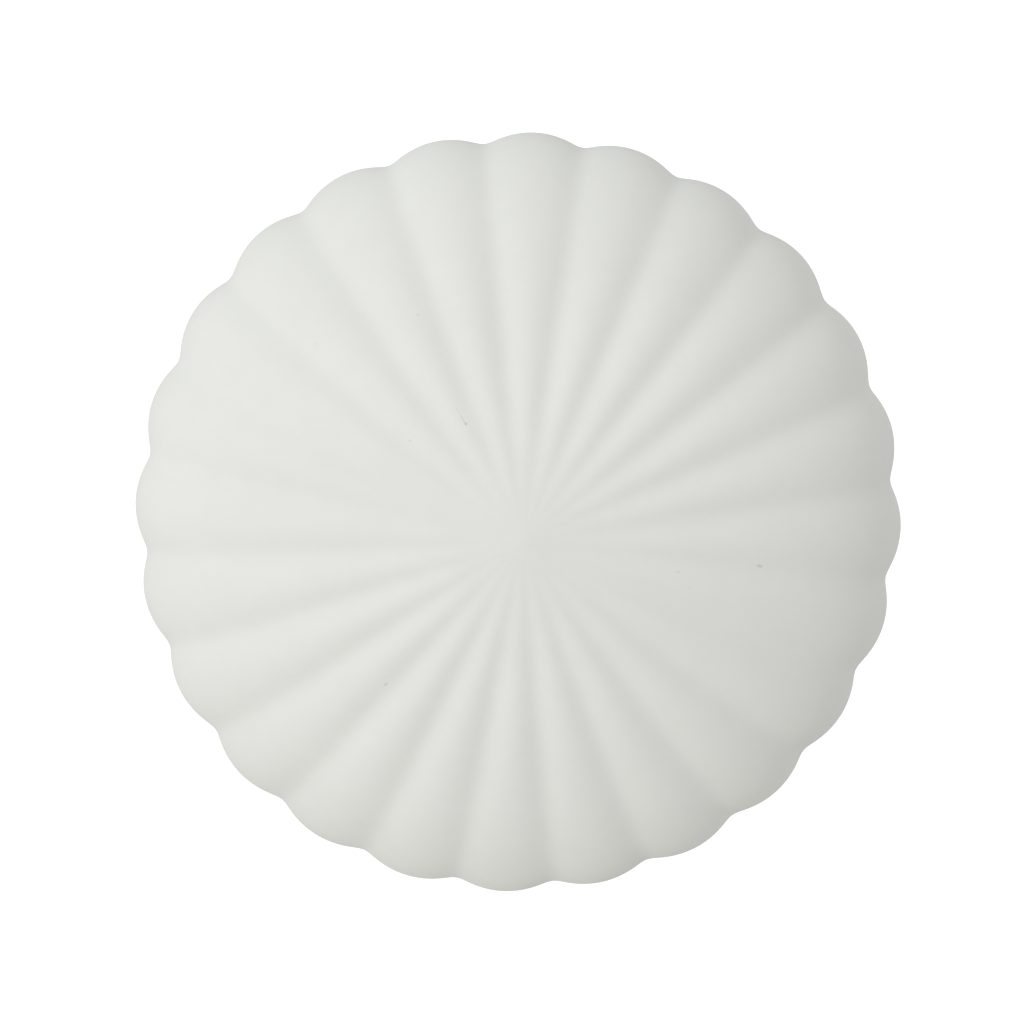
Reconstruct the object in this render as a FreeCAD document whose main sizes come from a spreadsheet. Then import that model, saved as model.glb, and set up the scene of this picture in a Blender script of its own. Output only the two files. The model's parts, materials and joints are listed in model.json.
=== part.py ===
"""Shell wall sconce: a scalloped plaster dome that hooks onto a lit steel frame on the wall.

Frame: the wall is the plane y = 0 and the fitting stands out of it towards -Y. +Z is up and +X is to
the right of someone who faces the fitting. The origin is the middle between the two wall screws.
All sizes are millimetres and degrees.
"""
import FreeCAD, Part
import Sketcher
import math
import os

V = FreeCAD.Vector
doc = FreeCAD.newDocument("shell_wall_sconce")
sheet = doc.addObject("Spreadsheet::Sheet", "Sizes")

SIZES = [
    # the plaster dome
    ("crown_radius", 152.5, "centre to the top of a flute at the rim"),
    ("dome_depth", 72.0, "widest line of the rim to the middle of the dome"),
    ("rim_standoff", 22.0, "wall to the widest line of the rim"),
    ("rim_wall", 10.5, "flute top to the hollow, at the rim"),
    ("apex_wall", 11.5, "thickness at the middle of the dome"),
    ("flute_count", 24.0, "flutes round the dome"),
    ("flute_turn", 2.25, "top flute's turn clockwise from upright, degrees"),
    ("flute_slope", 0.36, "least slope of a flute's flank"),
    ("flute_slope_growth", 2.05, "growth of that slope away from its station"),
    ("flute_slope_station", 0.75, "station of the least slope, centre 0 to rim 1"),
    ("crease_soft_centre", 3.9, "softness of a crease near the middle"),
    ("crease_soft_rim", 2.1, "softness of a crease at the rim"),
    ("crease_soft_share", 0.9, "greatest softness of a crease over half a flute's width"),
    ("peak_slope", 0.09, "slope of the low peak at the middle"),
    ("peak_reach", 60.0, "radius that the low peak fades out at"),
    ("peak_round", 1.5, "rounding of the peak's tip"),
    ("flute_start", 0.1, "station where the plain cap ends"),
    ("round_power", 1.97, "power of the dome's outline across the radius"),
    ("depth_power", 1.81, "power of the dome's outline across the depth"),
    ("rim_ease", 1.2, "eased outer edge of the rim"),
    # the cast bosses and what is screwed to them
    ("boss_x", 38.0, "bosses to the centre line, sideways"),
    ("boss_z", 66.0, "bosses to the centre line, up and down"),
    ("boss_face", 50.0, "wall to the bosses' faces"),
    ("boss_radius", 8.5, "boss at its face"),
    ("boss_root_radius", 11.0, "boss where it meets the dome"),
    ("insert_radius", 3.5, "brass insert"),
    ("insert_length", 11.0, "brass insert"),
    ("plate_thickness", 2.0, "folded steel of plates and brackets"),
    ("plate_width", 110.0, "plates on the dome"),
    ("plate_top", 76.0, "centre line to the plates' far edges"),
    ("hook_bend", 56.0, "centre line to the hanger plate's bend"),
    ("hook_seat_gap", 0.5, "lip's tip above the hook's arm"),
    ("slide_gap", 0.3, "between faces that slide or lean"),
    ("hanger_screw_radius", 2.0, "hanger screw's thread"),
    ("hanger_screw_length", 10.0, "hanger screw under its head"),
    ("hanger_head_radius", 4.0, "hanger screw's head"),
    ("hanger_head_height", 2.7, "hanger screw's head"),
    ("washer_radius", 4.8, "washer"),
    ("washer_thickness", 0.8, "washer"),
    # what is fixed to the wall
    ("bar_length", 104.0, "crossbar"),
    ("bar_height", 19.0, "crossbar"),
    ("bar_thickness", 2.0, "crossbar"),
    ("wall_screw_x", 35.0, "wall screws to the centre line"),
    ("wall_slot_radius", 2.4, "end of a wall screw's slot"),
    ("wall_slot_length", 14.0, "wall screw's slot, end to end"),
    ("supply_hole_radius", 8.0, "hole for the supply"),
    ("stud_x", 47.0, "studs to the centre line"),
    ("stud_radius", 2.0, "stud"),
    ("stud_reach", 25.0, "wall to the stud's tip"),
    ("stud_foot_radius", 3.0, "stud's pressed foot"),
    ("stud_foot_height", 0.8, "stud's pressed foot"),
    ("hole_gap", 0.2, "screw to the edge of its clearance hole"),
    ("canopy_radius", 60.0, "canopy"),
    ("canopy_depth", 20.0, "canopy"),
    ("canopy_wall", 1.5, "canopy's sheet"),
    ("canopy_corner", 4.0, "canopy's outer corner"),
    ("cap_nut_width", 7.0, "cap nut across its flats"),
    ("cap_nut_hex", 3.4, "cap nut's hexagon"),
    ("cap_nut_height", 8.0, "cap nut with its dome"),
    # hook and rest
    ("hook_width", 70.0, "hook bracket"),
    ("rest_width", 60.0, "rest bracket"),
    ("foot_inner", 24.0, "centre line to the near edge of a bracket's foot"),
    ("arm_z", 44.0, "centre line to the near face of a bracket's arm"),
    ("hook_lip", 10.5, "lip of the hook, past its bend"),
    ("rest_face", 42.0, "wall to the rest bracket's front"),
    ("rest_far", 74.0, "centre line to the rest bracket's far edge"),
    ("bend_radius", 2.6, "outer radius of a fold"),
    ("bracket_screw_x", 22.0, "bracket screws to the centre line"),
    ("bracket_screw_z", 33.0, "bracket screws, up and down"),
    ("bracket_screw_radius", 1.5, "bracket screw"),
    ("bracket_screw_length", 8.0, "bracket screw under its head"),
    ("bracket_head_radius", 2.9, "bracket screw's head"),
    ("bracket_head_height", 1.9, "bracket screw's head"),
    ("bracket_nut_width", 5.5, "bracket nut across its flats"),
    ("bracket_nut_height", 2.4, "bracket nut"),
    ("bumper_x", 20.0, "bumpers to the centre line"),
    ("bumper_radius", 6.0, "bumper's pad"),
    ("bumper_stem_radius", 2.4, "bumper's stem in its hole"),
    ("bumper_barb_radius", 3.6, "bumper's barb behind its hole"),
    ("bumper_barb_height", 3.0, "bumper's barb"),
    # lamps
    ("lamp_y", 42.0, "wall to the lamps' axis"),
    ("flange_x", 16.0, "lamp bracket's outer face to the centre line"),
    ("flange_half", 10.0, "lamp bracket, centre line to its edge"),
    ("flange_far", 54.5, "wall to the flanges' front edge"),
    ("flange_thickness", 1.5, "lamp bracket"),
    ("flange_hole_radius", 6.2, "lead hole in a flange"),
    ("holder_screw_y", 8.6, "holder screws to the lamp's axis"),
    ("holder_screw_radius", 1.25, "holder screw"),
    ("holder_screw_length", 7.0, "holder screw under its head"),
    ("holder_head_radius", 2.3, "holder screw's head"),
    ("holder_head_height", 1.6, "holder screw's head"),
    ("holder_radius", 11.5, "holder's base"),
    ("holder_base_length", 9.0, "holder's base"),
    ("holder_nose_radius", 9.5, "holder's nose"),
    ("holder_length", 22.0, "holder"),
    ("pin_z", 4.5, "pins to the lamp's axis"),
    ("pin_wire_radius", 0.4, "pin's wire"),
    ("pin_loop", 0.9, "pin's leg to the middle of its loop"),
    ("pin_length", 7.5, "pin outside the base"),
    ("contact_length", 11.0, "contact's leaves"),
    ("contact_leaf", 0.4, "contact's sheet"),
    ("contact_width", 3.4, "contact across its leaves"),
    ("contact_start", 8.0, "holder's back face to the contact"),
    ("rivet_x", 10.5, "lamp bracket's rivets to the centre line"),
    ("rivet_radius", 1.6, "rivet"),
    ("rivet_head_radius", 3.0, "rivet's head"),
    ("rivet_head_height", 1.0, "rivet's head"),
    ("base_radius", 8.0, "lamp's base"),
    ("base_length", 12.0, "lamp's base"),
    ("envelope_radius", 8.5, "lamp's envelope"),
    ("envelope_length", 34.0, "lamp's envelope, with its domed end"),
    ("envelope_wall", 1.0, "lamp's envelope"),
    ("engine_radius", 3.2, "light engine"),
    ("engine_length", 25.0, "light engine"),
    # wiring
    ("grommet_hole_radius", 5.6, "hole that the grommet sits in"),
    ("grommet_bore_radius", 4.2, "grommet's bore"),
    ("grommet_flange_radius", 7.2, "grommet's flanges"),
    ("grommet_flange_height", 1.2, "grommet's flanges"),
    ("lead_radius", 0.9, "lead over its insulation"),
    ("lead_x", 1.5, "leads in the grommet, sideways"),
    ("lead_z", 2.0, "leads in the grommet, up and down"),
    ("block_width", 26.0, "terminal block"),
    ("block_height", 14.0, "terminal block"),
    ("block_depth", 11.0, "terminal block"),
    ("block_top", 33.0, "centre line down to the block's top"),
    ("pole_pitch", 8.0, "between the block's poles"),
    ("tube_radius", 2.1, "brass tube"),
    ("tube_bore_radius", 1.4, "brass tube's bore"),
    ("tube_length", 9.0, "brass tube"),
    ("clamp_radius", 1.2, "clamp screw"),
    ("block_screw_radius", 1.3, "block's fixing screw"),
    ("earth_x", 20.0, "earth screw to the centre line"),
    ("earth_screw_radius", 2.0, "earth screw"),
    ("ring_radius", 3.9, "ring terminal"),
    ("ring_thickness", 0.8, "ring terminal"),
    ("ring_barrel_radius", 1.5, "ring terminal's barrel"),
    ("ring_barrel_length", 6.0, "ring terminal's barrel"),
    ("earth_head_radius", 3.5, "earth screw's head"),
    ("earth_head_height", 2.4, "earth screw's head"),
]

for row, (name, value, note) in enumerate(SIZES, start=1):
    sheet.set("A%d" % row, name)
    sheet.set("B%d" % row, repr(value))
    sheet.set("C%d" % row, note)
    sheet.setAlias("B%d" % row, name)
doc.recompute()


class Size:
    """A length or count that knows its number and the formula that gives it."""

    def __init__(self, number, text):
        self.number = float(number)
        self.text = text

    def _join(self, other, sign, number, flip=False):
        text = other.text if isinstance(other, Size) else repr(float(other))
        first, second = (text, self.text) if flip else (self.text, text)
        return Size(number, "(%s %s %s)" % (first, sign, second))

    @staticmethod
    def _value(other):
        return other.number if isinstance(other, Size) else float(other)

    def __add__(self, other):
        return self._join(other, "+", self.number + self._value(other))

    def __radd__(self, other):
        return self._join(other, "+", self._value(other) + self.number, True)

    def __sub__(self, other):
        return self._join(other, "-", self.number - self._value(other))

    def __rsub__(self, other):
        return self._join(other, "-", self._value(other) - self.number, True)

    def __mul__(self, other):
        return self._join(other, "*", self.number * self._value(other))

    def __rmul__(self, other):
        return self._join(other, "*", self._value(other) * self.number, True)

    def __truediv__(self, other):
        return self._join(other, "/", self.number / self._value(other))

    def __neg__(self):
        return Size(-self.number, "(0 - %s)" % self.text)

    def __float__(self):
        return self.number


class Sizes:
    """The sheet's values by name."""

    def __getattr__(self, name):
        return Size(sheet.get(name), "Sizes." + name)


S = Sizes()
ZERO = Size(0, "0")
ROOT_HALF = math.sqrt(0.5)

# planes of the assembly that several pieces share
rim_y = S.rim_standoff
hollow_radius = S.crown_radius - S.rim_wall
hollow_depth = S.dome_depth - S.apex_wall
canopy_front = S.canopy_depth
plate_back = S.boss_face - S.plate_thickness
arm_top = S.arm_z + S.plate_thickness
holder_front = S.flange_x + S.holder_length
lamp_back = holder_front + S.slide_gap
lip_slant = S.plate_thickness * ROOT_HALF
hook_sum = S.hook_bend - S.boss_face
hook_face_sum = hook_sum - S.slide_gap / ROOT_HALF

NODES = []


def bind(obj, prop, size):
    """Drive one property of an object from the sheet."""
    if isinstance(size, Size):
        obj.setExpression(prop, size.text)
    else:
        obj.setExpression(prop, repr(float(size)))


def place(obj, x=ZERO, y=ZERO, z=ZERO):
    """Drive an object's position from the sheet."""
    for axis, size in (("x", x), ("y", y), ("z", z)):
        bind(obj, ".Placement.Base." + axis, size)


def finish(obj, label):
    """Name a finished sub-part."""
    obj.Label = label
    NODES.append(obj)
    return obj


def new_body(name):
    return doc.addObject("PartDesign::Body", name)


def sketch_on(body, role, name, offset=None):
    """A sketch on one of the body's own planes, moved along the plane's normal by offset."""
    sketch = body.newObject("Sketcher::SketchObject", name)
    plane = [f for f in body.Origin.OriginFeatures if f.Role == role][0]
    sketch.AttachmentSupport = [(plane, "")]
    sketch.MapMode = "FlatFace"
    if offset is not None:
        bind(sketch, ".AttachmentOffset.Base.z", offset)
    return sketch


def pin_point(sketch, edge, end, point):
    """Hold a sketch point at its two distances from the origin."""
    for kind, size in zip(("DistanceX", "DistanceY"), point):
        index = sketch.addConstraint(Sketcher.Constraint(kind, -1, 1, edge, end, float(size)))
        label = "%s_%d_%d" % (kind[-1].lower(), edge, end)
        sketch.renameConstraint(index, label)
        bind(sketch, "Constraints." + label, size)


def outline(sketch, points):
    """A closed outline of straight edges through points given as pairs of sizes."""
    first = sketch.GeometryCount
    ends = [V(float(x), float(y), 0) for x, y in points]
    count = len(ends)
    for i in range(count):
        sketch.addGeometry(Part.LineSegment(ends[i], ends[(i + 1) % count]), False)
    for i in range(count):
        after = first + (i + 1) % count
        sketch.addConstraint(Sketcher.Constraint("Coincident", first + i, 2, after, 1))
    for i, point in enumerate(points):
        pin_point(sketch, first + i, 1, point)


def box_outline(sketch, x0, x1, y0, y1):
    outline(sketch, [(x0, y0), (x1, y0), (x1, y1), (x0, y1)])


def ring(sketch, x, y, radius):
    """A circle held by its centre and radius."""
    edge = sketch.addGeometry(Part.Circle(V(float(x), float(y), 0), V(0, 0, 1), float(radius)), False)
    pin_point(sketch, edge, 3, (x, y))
    index = sketch.addConstraint(Sketcher.Constraint("Radius", edge, float(radius)))
    label = "radius_%d" % edge
    sketch.renameConstraint(index, label)
    bind(sketch, "Constraints." + label, radius)


def long_slot(sketch, x, y, length, radius):
    """A slot along the sketch's first axis, length from end to end."""
    half = length / 2 - radius
    cx, cy, r, h = float(x), float(y), float(radius), float(half)
    turn = math.pi / 2
    first = sketch.GeometryCount
    right = Part.ArcOfCircle(Part.Circle(V(cx + h, cy, 0), V(0, 0, 1), r), -turn, turn)
    left = Part.ArcOfCircle(Part.Circle(V(cx - h, cy, 0), V(0, 0, 1), r), turn, 3 * turn)
    top = Part.LineSegment(V(cx + h, cy + r, 0), V(cx - h, cy + r, 0))
    bottom = Part.LineSegment(V(cx - h, cy - r, 0), V(cx + h, cy - r, 0))
    for shape in (right, top, left, bottom):
        sketch.addGeometry(shape, False)
    for i in range(4):
        sketch.addConstraint(Sketcher.Constraint("Tangent", first + i, 2, first + (i + 1) % 4, 1))
    pin_point(sketch, first, 3, (x + half, y))
    pin_point(sketch, first + 2, 3, (x - half, y))
    index = sketch.addConstraint(Sketcher.Constraint("Radius", first, r))
    sketch.renameConstraint(index, "slot_radius_%d" % first)
    bind(sketch, "Constraints.slot_radius_%d" % first, radius)


def hexagon(sketch, width):
    """A regular hexagon about the origin, width across its flats, with a corner on the second axis."""
    far = width / math.sqrt(3)
    half = width / 2
    low = far / 2
    outline(sketch, [(half, low), (ZERO, far), (-half, low), (-half, -low), (ZERO, -far), (half, -low)])


def pad(body, sketch, length, name, both=False, back=False):
    feature = body.newObject("PartDesign::Pad", name)
    feature.Profile = sketch
    bind(feature, "Length", length)
    if both:
        feature.SideType = "Symmetric"
    feature.Reversed = back
    sketch.Visibility = False
    doc.recompute()
    return feature


def pocket(body, sketch, length, name, both=False, back=False):
    feature = body.newObject("PartDesign::Pocket", name)
    feature.Profile = sketch
    bind(feature, "Length", length)
    if both:
        feature.SideType = "Symmetric"
    feature.Reversed = back
    before = feature.BaseFeature.Shape.Volume
    doc.recompute()
    if feature.Shape.Volume >= before - 1e-6:
        raise RuntimeError(name + " cuts nothing")
    return feature


def revolve(body, sketch, name, axis="V_Axis"):
    feature = body.newObject("PartDesign::Revolution", name)
    feature.Profile = sketch
    feature.ReferenceAxis = (sketch, [axis])
    feature.Angle = 360.0
    doc.recompute()
    return feature


def groove(body, sketch, name, axis="V_Axis"):
    feature = body.newObject("PartDesign::Groove", name)
    feature.Profile = sketch
    feature.ReferenceAxis = (sketch, [axis])
    feature.Angle = 360.0
    before = feature.BaseFeature.Shape.Volume
    doc.recompute()
    if feature.Shape.Volume >= before - 1e-6:
        raise RuntimeError(name + " cuts nothing")
    return feature


def edges_where(shape, test):
    return ["Edge%d" % (i + 1) for i, edge in enumerate(shape.Edges) if test(edge)]


def round_edges(body, base, test, radius, name):
    feature = body.newObject("PartDesign::Fillet", name)
    feature.Base = (base, edges_where(base.Shape, test))
    bind(feature, "Radius", radius)
    doc.recompute()
    return feature


def along_x(edge, y, z):
    """Is this a straight edge along X through y and z?"""
    box = edge.BoundBox
    near = abs(box.YMin - y) < 0.05 and abs(box.YMax - y) < 0.05
    near = near and abs(box.ZMin - z) < 0.05 and abs(box.ZMax - z) < 0.05
    return near and box.XLength > 1


def circle_at(edge, radius, y):
    """Is this a circle about the Y axis of that radius, at that depth?"""
    curve = edge.Curve
    round_one = hasattr(curve, "Radius") and abs(curve.Radius - radius) < 0.01
    return round_one and abs(edge.BoundBox.YMin - y) < 0.01 and edge.BoundBox.YLength < 0.01


def mirrored(obj, normal, name):
    """A mirror image of an object about a plane through the origin."""
    image = doc.addObject("Part::Mirroring", name)
    image.Source = obj
    image.Base = V(0, 0, 0)
    image.Normal = V(*normal)
    return image


def group(label, members):
    """Like pieces as one node of separate solids."""
    compound = doc.addObject("Part::Compound", label)
    compound.Links = members
    return finish(compound, label)


def left_and_right(label, one):
    return group(label, [one, mirrored(one, (1, 0, 0), label + "_image")])


def four_corners(label, one):
    side = mirrored(one, (1, 0, 0), label + "_side")
    low = mirrored(one, (0, 0, 1), label + "_low")
    far = mirrored(low, (1, 0, 0), label + "_far")
    return group(label, [one, side, low, far])


def turned_piece(name, points, x=ZERO, z=ZERO):
    """A solid turned about an axis along Y: points are (distance from the wall, radius)."""
    body = new_body(name)
    sketch = sketch_on(body, "XY_Plane", name + "_profile")
    outline(sketch, [(radius, -depth) for depth, radius in points])
    revolve(body, sketch, name + "_turn")
    place(body, x, ZERO, z)
    return body


# ---------------------------------------------------------------- the plaster dome

def flute_wave(across, softness):
    """Height of a flute across its width, 0 at its top and 1 at its crease, with soft creases."""
    total = 0.0
    for n in range(1, 9):
        sign = 1 if n % 2 else -1
        fade = math.exp(-((n * math.pi * softness) ** 2) / 2)
        total += sign * 4 / (math.pi * n) ** 2 * math.cos(n * math.pi * across) * fade
    return total


def peak(across):
    """Height of the low peak in the middle of the dome."""
    reach = S.peak_reach.number
    share = max(1.0 - math.hypot(across, S.peak_round.number) / reach, 0.0)
    return S.peak_slope.number * reach / 2 * share ** 2


def dome_outline(station, radius):
    """Plain dome at a station from its middle (0) to its rim (1): radius, depth and outward normal."""
    turn = station * math.pi / 2
    depth = S.dome_depth.number - peak(0.0)
    across = radius * math.sin(turn) ** (2 / S.round_power.number)
    down = depth * max(math.cos(turn), 0.0) ** (2 / S.depth_power.number)
    slant_r = (across / radius) ** (S.round_power.number - 1) / radius
    slant_d = (down / depth) ** (S.depth_power.number - 1) / depth
    size = math.hypot(slant_r, slant_d)
    return across, down + peak(across), slant_r / size, slant_d / size


def flute_point(station, across, radius):
    """Radius and depth of the fluted dome at a station and a place across the flute, -1 to 1."""
    r, d, normal_r, normal_d = dome_outline(station, radius)
    half = math.pi * r / S.flute_count.number
    growth = S.flute_slope_growth.number * (station - S.flute_slope_station.number) ** 2
    height = (S.flute_slope.number + growth) * half / 2
    soft = S.crease_soft_centre.number
    soft += (S.crease_soft_rim.number - soft) * station
    soft /= math.hypot(1.0, soft / (S.crease_soft_share.number * half))
    lift = height * flute_wave(across, soft / half)
    return r + lift * normal_r, d + lift * normal_d


def mean_radius():
    """Radius of the plain dome under flutes that reach the crown radius."""
    radius = S.crown_radius.number
    for _ in range(20):
        radius += S.crown_radius.number - flute_point(1.0, 0.0, radius)[0]
    return radius


def radius_at_depth(depth, across, radius):
    """Radius of the fluted dome where it crosses a depth, found by halving."""
    low, high = 0.02, 1.0
    for _ in range(45):
        middle = (low + high) / 2
        if flute_point(middle, across, radius)[1] > depth:
            low = middle
        else:
            high = middle
    return flute_point((low + high) / 2, across, radius)[0]


def dome_section(depth, inset, radius, plain=None):
    """Level outline of the dome at a depth in front of the rim: one arc for each flute."""
    flutes = int(round(S.flute_count.number))
    turn = math.radians(S.flute_turn.number)
    y = -(S.rim_standoff.number + depth)
    top = plain or radius_at_depth(max(depth, 0.0), 0.0, radius) - inset
    low = plain or radius_at_depth(max(depth, 0.0), 1.0, radius) - inset

    def spot(r, half_flutes):
        angle = math.pi * half_flutes / flutes + turn
        return V(r * math.sin(angle), y, r * math.cos(angle))

    arcs = []
    for i in range(flutes):
        before, middle, after = spot(low, 2 * i - 1), spot(top, 2 * i), spot(low, 2 * i + 1)
        arcs.append(Part.Arc(before, middle, after).toShape())
    return Part.Wire(arcs)


def dome_solid():
    """The fluted dome without its hollow: a loft through level outlines on an eased rim."""
    radius = mean_radius()
    start = S.flute_start.number
    ease = S.rim_ease.number
    count = 9
    stations = [1.0 - (1.0 - start) * i / count for i in range(1, count)]
    depths = [0.0] + [dome_outline(station, radius)[1] for station in stations]
    outlines = [dome_section(depth, 0.0, radius) for depth in depths]
    for station in (start, start / 2, start / 5, start / 20):
        plain, depth = dome_outline(station, radius)[:2]
        outlines.append(dome_section(depth, 0.0, radius, plain))
    edge = [dome_section(-ease, 0.75 * ease, radius), outlines[0]]
    fluted = Part.makeLoft(outlines, True, False)
    skirt = Part.makeLoft(edge, True, True)
    return fluted.fuse(skirt)


def make_shell():
    dome = doc.addObject("Part::Feature", "dome_outside")
    dome.Shape = dome_solid()
    dome.Placement = FreeCAD.Placement()

    hollow = doc.addObject("Part::Ellipsoid", "dome_hollow")
    bind(hollow, "Radius1", hollow_depth)
    bind(hollow, "Radius2", hollow_radius)
    bind(hollow, "Radius3", hollow_radius)
    hollow.Placement.Rotation = FreeCAD.Rotation(V(1, 0, 0), 90)
    place(hollow, ZERO, -rim_y, ZERO)

    bosses = []
    for side in (-1, 1):
        for level in (-1, 1):
            boss = doc.addObject("Part::Cone", "boss_%d_%d" % (side + 1, level + 1))
            bind(boss, "Radius1", S.boss_radius)
            bind(boss, "Radius2", S.boss_root_radius)
            bind(boss, "Height", S.dome_depth + S.rim_standoff - S.boss_face)
            boss.Placement.Rotation = FreeCAD.Rotation(V(1, 0, 0), 90)
            place(boss, side * S.boss_x, -S.boss_face, level * S.boss_z)
            bosses.append(boss)
    boss_set = doc.addObject("Part::MultiFuse", "boss_set")
    boss_set.Shapes = bosses

    space = doc.addObject("Part::Cut", "hollow_around_bosses")
    space.Base = hollow
    space.Tool = boss_set

    bores = []
    for side in (-1, 1):
        for level in (-1, 1):
            bore = doc.addObject("Part::Cylinder", "insert_bore_%d_%d" % (side + 1, level + 1))
            bind(bore, "Radius", S.insert_radius)
            bind(bore, "Height", S.insert_length)
            bore.Placement.Rotation = FreeCAD.Rotation(V(1, 0, 0), 90)
            place(bore, side * S.boss_x, -S.boss_face, level * S.boss_z)
            bores.append(bore)
    tools = doc.addObject("Part::MultiFuse", "shell_cuts")
    tools.Shapes = [space] + bores

    shell = doc.addObject("Part::Cut", "shell")
    shell.Base = dome
    shell.Tool = tools
    return finish(shell, "shell")


def make_anchor_inserts():
    """Brass inserts cast into the bosses, threaded for the hanger screws."""
    face, bottom = S.boss_face, S.boss_face + S.insert_length
    bore = S.hanger_screw_radius
    one = turned_piece("anchor_insert", [
        (face, bore), (face, S.insert_radius), (bottom, S.insert_radius), (bottom, bore),
    ], S.boss_x, S.boss_z)
    return four_corners("anchor_inserts", one)


def plate_holes(body, x, z, radius, name):
    """Two holes through a plate, left and right."""
    sketch = sketch_on(body, "XZ_Plane", name + "_rings")
    ring(sketch, x, z, radius)
    ring(sketch, -x, z, radius)
    return pocket(body, sketch, 4 * S.boss_face, name, both=True)


def make_upper_hanger_plate():
    """Plate on the upper bosses, folded at its lower edge into a lip that hooks behind the frame's."""
    body = new_body("upper_hanger_plate")
    sketch = sketch_on(body, "YZ_Plane", "hanger_profile")
    front, back = -S.boss_face, -plate_back
    tip_z = arm_top + S.hook_seat_gap
    tip_y = hook_sum - tip_z
    wide_sum = hook_sum + 2 * lip_slant
    outline(sketch, [
        (front, S.plate_top), (front, S.hook_bend), (tip_y, tip_z),
        (tip_y + lip_slant, tip_z + lip_slant), (back, wide_sum - back), (back, S.plate_top),
    ])
    pad(body, sketch, S.plate_width, "hanger_fold", both=True)
    plate_holes(body, S.boss_x, S.boss_z, S.hanger_screw_radius + S.hole_gap, "hanger_holes")
    return finish(body, "upper_hanger_plate")


def make_lower_spacer_plate():
    """Plate on the lower bosses that leans on the rubber bumpers."""
    body = new_body("lower_spacer_plate")
    sketch = sketch_on(body, "XZ_Plane", "spacer_outline", plate_back)
    half = S.plate_width / 2
    box_outline(sketch, -half, half, -S.plate_top, -S.hook_bend)
    flat = pad(body, sketch, S.plate_thickness, "spacer_pad")
    plate_holes(body, S.boss_x, -S.boss_z, S.hanger_screw_radius + S.hole_gap, "spacer_holes")
    return finish(body, "lower_spacer_plate")


def make_hanger_washers():
    back = plate_back
    top = plate_back - S.washer_thickness
    inner = S.hanger_screw_radius + S.hole_gap
    one = turned_piece("hanger_washer", [
        (back, inner), (back, S.washer_radius), (top, S.washer_radius), (top, inner),
    ], S.boss_x, S.boss_z)
    return four_corners("hanger_washers", one)


def drive_recess(body, name, head_face, depth, width):
    """A cross recess in a screw's head: head_face is the wall distance of the head's face."""
    long, slim = width, width / 4
    sketch = sketch_on(body, "XZ_Plane", name + "_cross", head_face)
    outline(sketch, [
        (-slim, -long), (slim, -long), (slim, -slim), (long, -slim), (long, slim), (slim, slim),
        (slim, long), (-slim, long), (-slim, slim), (-long, slim), (-long, -slim), (-slim, -slim),
    ])
    return sketch


def screw(name, under_head, length, radius, head_radius, head_height, x, z, into_wall):
    """A pan-head screw along Y. Its head's underside is at under_head from the wall.

    into_wall says that the shank runs towards the wall, otherwise it runs away from it.
    """
    way = -1 if into_wall else 1
    tip = under_head + way * length
    head = under_head - way * head_height
    body = new_body(name)
    sketch = sketch_on(body, "XY_Plane", name + "_profile")
    shoulder = head_radius * 0.8
    soft = under_head - way * head_height * 0.6
    point = tip - way * radius * 0.35
    outline(sketch, [
        (ZERO, -tip), (radius * 0.65, -tip), (radius, -point), (radius, -under_head),
        (head_radius, -under_head), (head_radius, -soft), (shoulder, -head), (ZERO, -head),
    ])
    revolve(body, sketch, name + "_turn")
    depth = head_height * 0.5
    cross = drive_recess(body, name, head, depth, head_radius * 0.5)
    # the recess starts at the head's face and runs into the head
    pocket(body, cross, depth, name + "_recess", back=not into_wall)
    place(body, x, ZERO, z)
    return body


def make_hanger_screws():
    face = plate_back - S.washer_thickness
    one = screw("hanger_screw", face, S.hanger_screw_length, S.hanger_screw_radius,
                S.hanger_head_radius, S.hanger_head_height, S.boss_x, S.boss_z, False)
    return four_corners("hanger_screws", one)


# ---------------------------------------------------------------- fixed to the wall

def make_crossbar():
    """Steel strip screwed to the wall through two slots, with a hole for the supply."""
    body = new_body("crossbar")
    sketch = sketch_on(body, "XZ_Plane", "bar_outline")
    half, tall = S.bar_length / 2, S.bar_height / 2
    box_outline(sketch, -half, half, -tall, tall)
    strip = pad(body, sketch, S.bar_thickness, "bar_pad")
    test = lambda edge: edge.BoundBox.YLength > 1 and edge.BoundBox.XLength < 0.01
    round_edges(body, strip, test, S.bar_height * 0.15, "bar_corners")
    sketch = sketch_on(body, "XZ_Plane", "bar_openings")
    ring(sketch, ZERO, ZERO, S.supply_hole_radius)
    for side in (-1, 1):
        long_slot(sketch, side * S.wall_screw_x, ZERO, S.wall_slot_length, S.wall_slot_radius)
        ring(sketch, side * S.stud_x, ZERO, S.stud_radius)
    ring(sketch, S.earth_x, ZERO, S.earth_screw_radius)
    pocket(body, sketch, 4 * S.bar_thickness, "bar_holes", both=True)
    sketch = sketch_on(body, "XZ_Plane", "bar_stud_seats")
    for side in (-1, 1):
        ring(sketch, side * S.stud_x, ZERO, S.stud_foot_radius)
    pocket(body, sketch, S.stud_foot_height, "bar_seats", back=True)
    return finish(body, "crossbar")


def make_canopy_studs():
    foot, tip = S.stud_foot_height, S.stud_reach
    one = turned_piece("canopy_stud", [
        (ZERO, ZERO), (ZERO, S.stud_foot_radius), (foot, S.stud_foot_radius), (foot, S.stud_radius),
        (tip - S.stud_radius * 0.4, S.stud_radius), (tip, S.stud_radius * 0.6), (tip, ZERO),
    ], S.stud_x)
    return left_and_right("canopy_studs", one)


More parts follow.
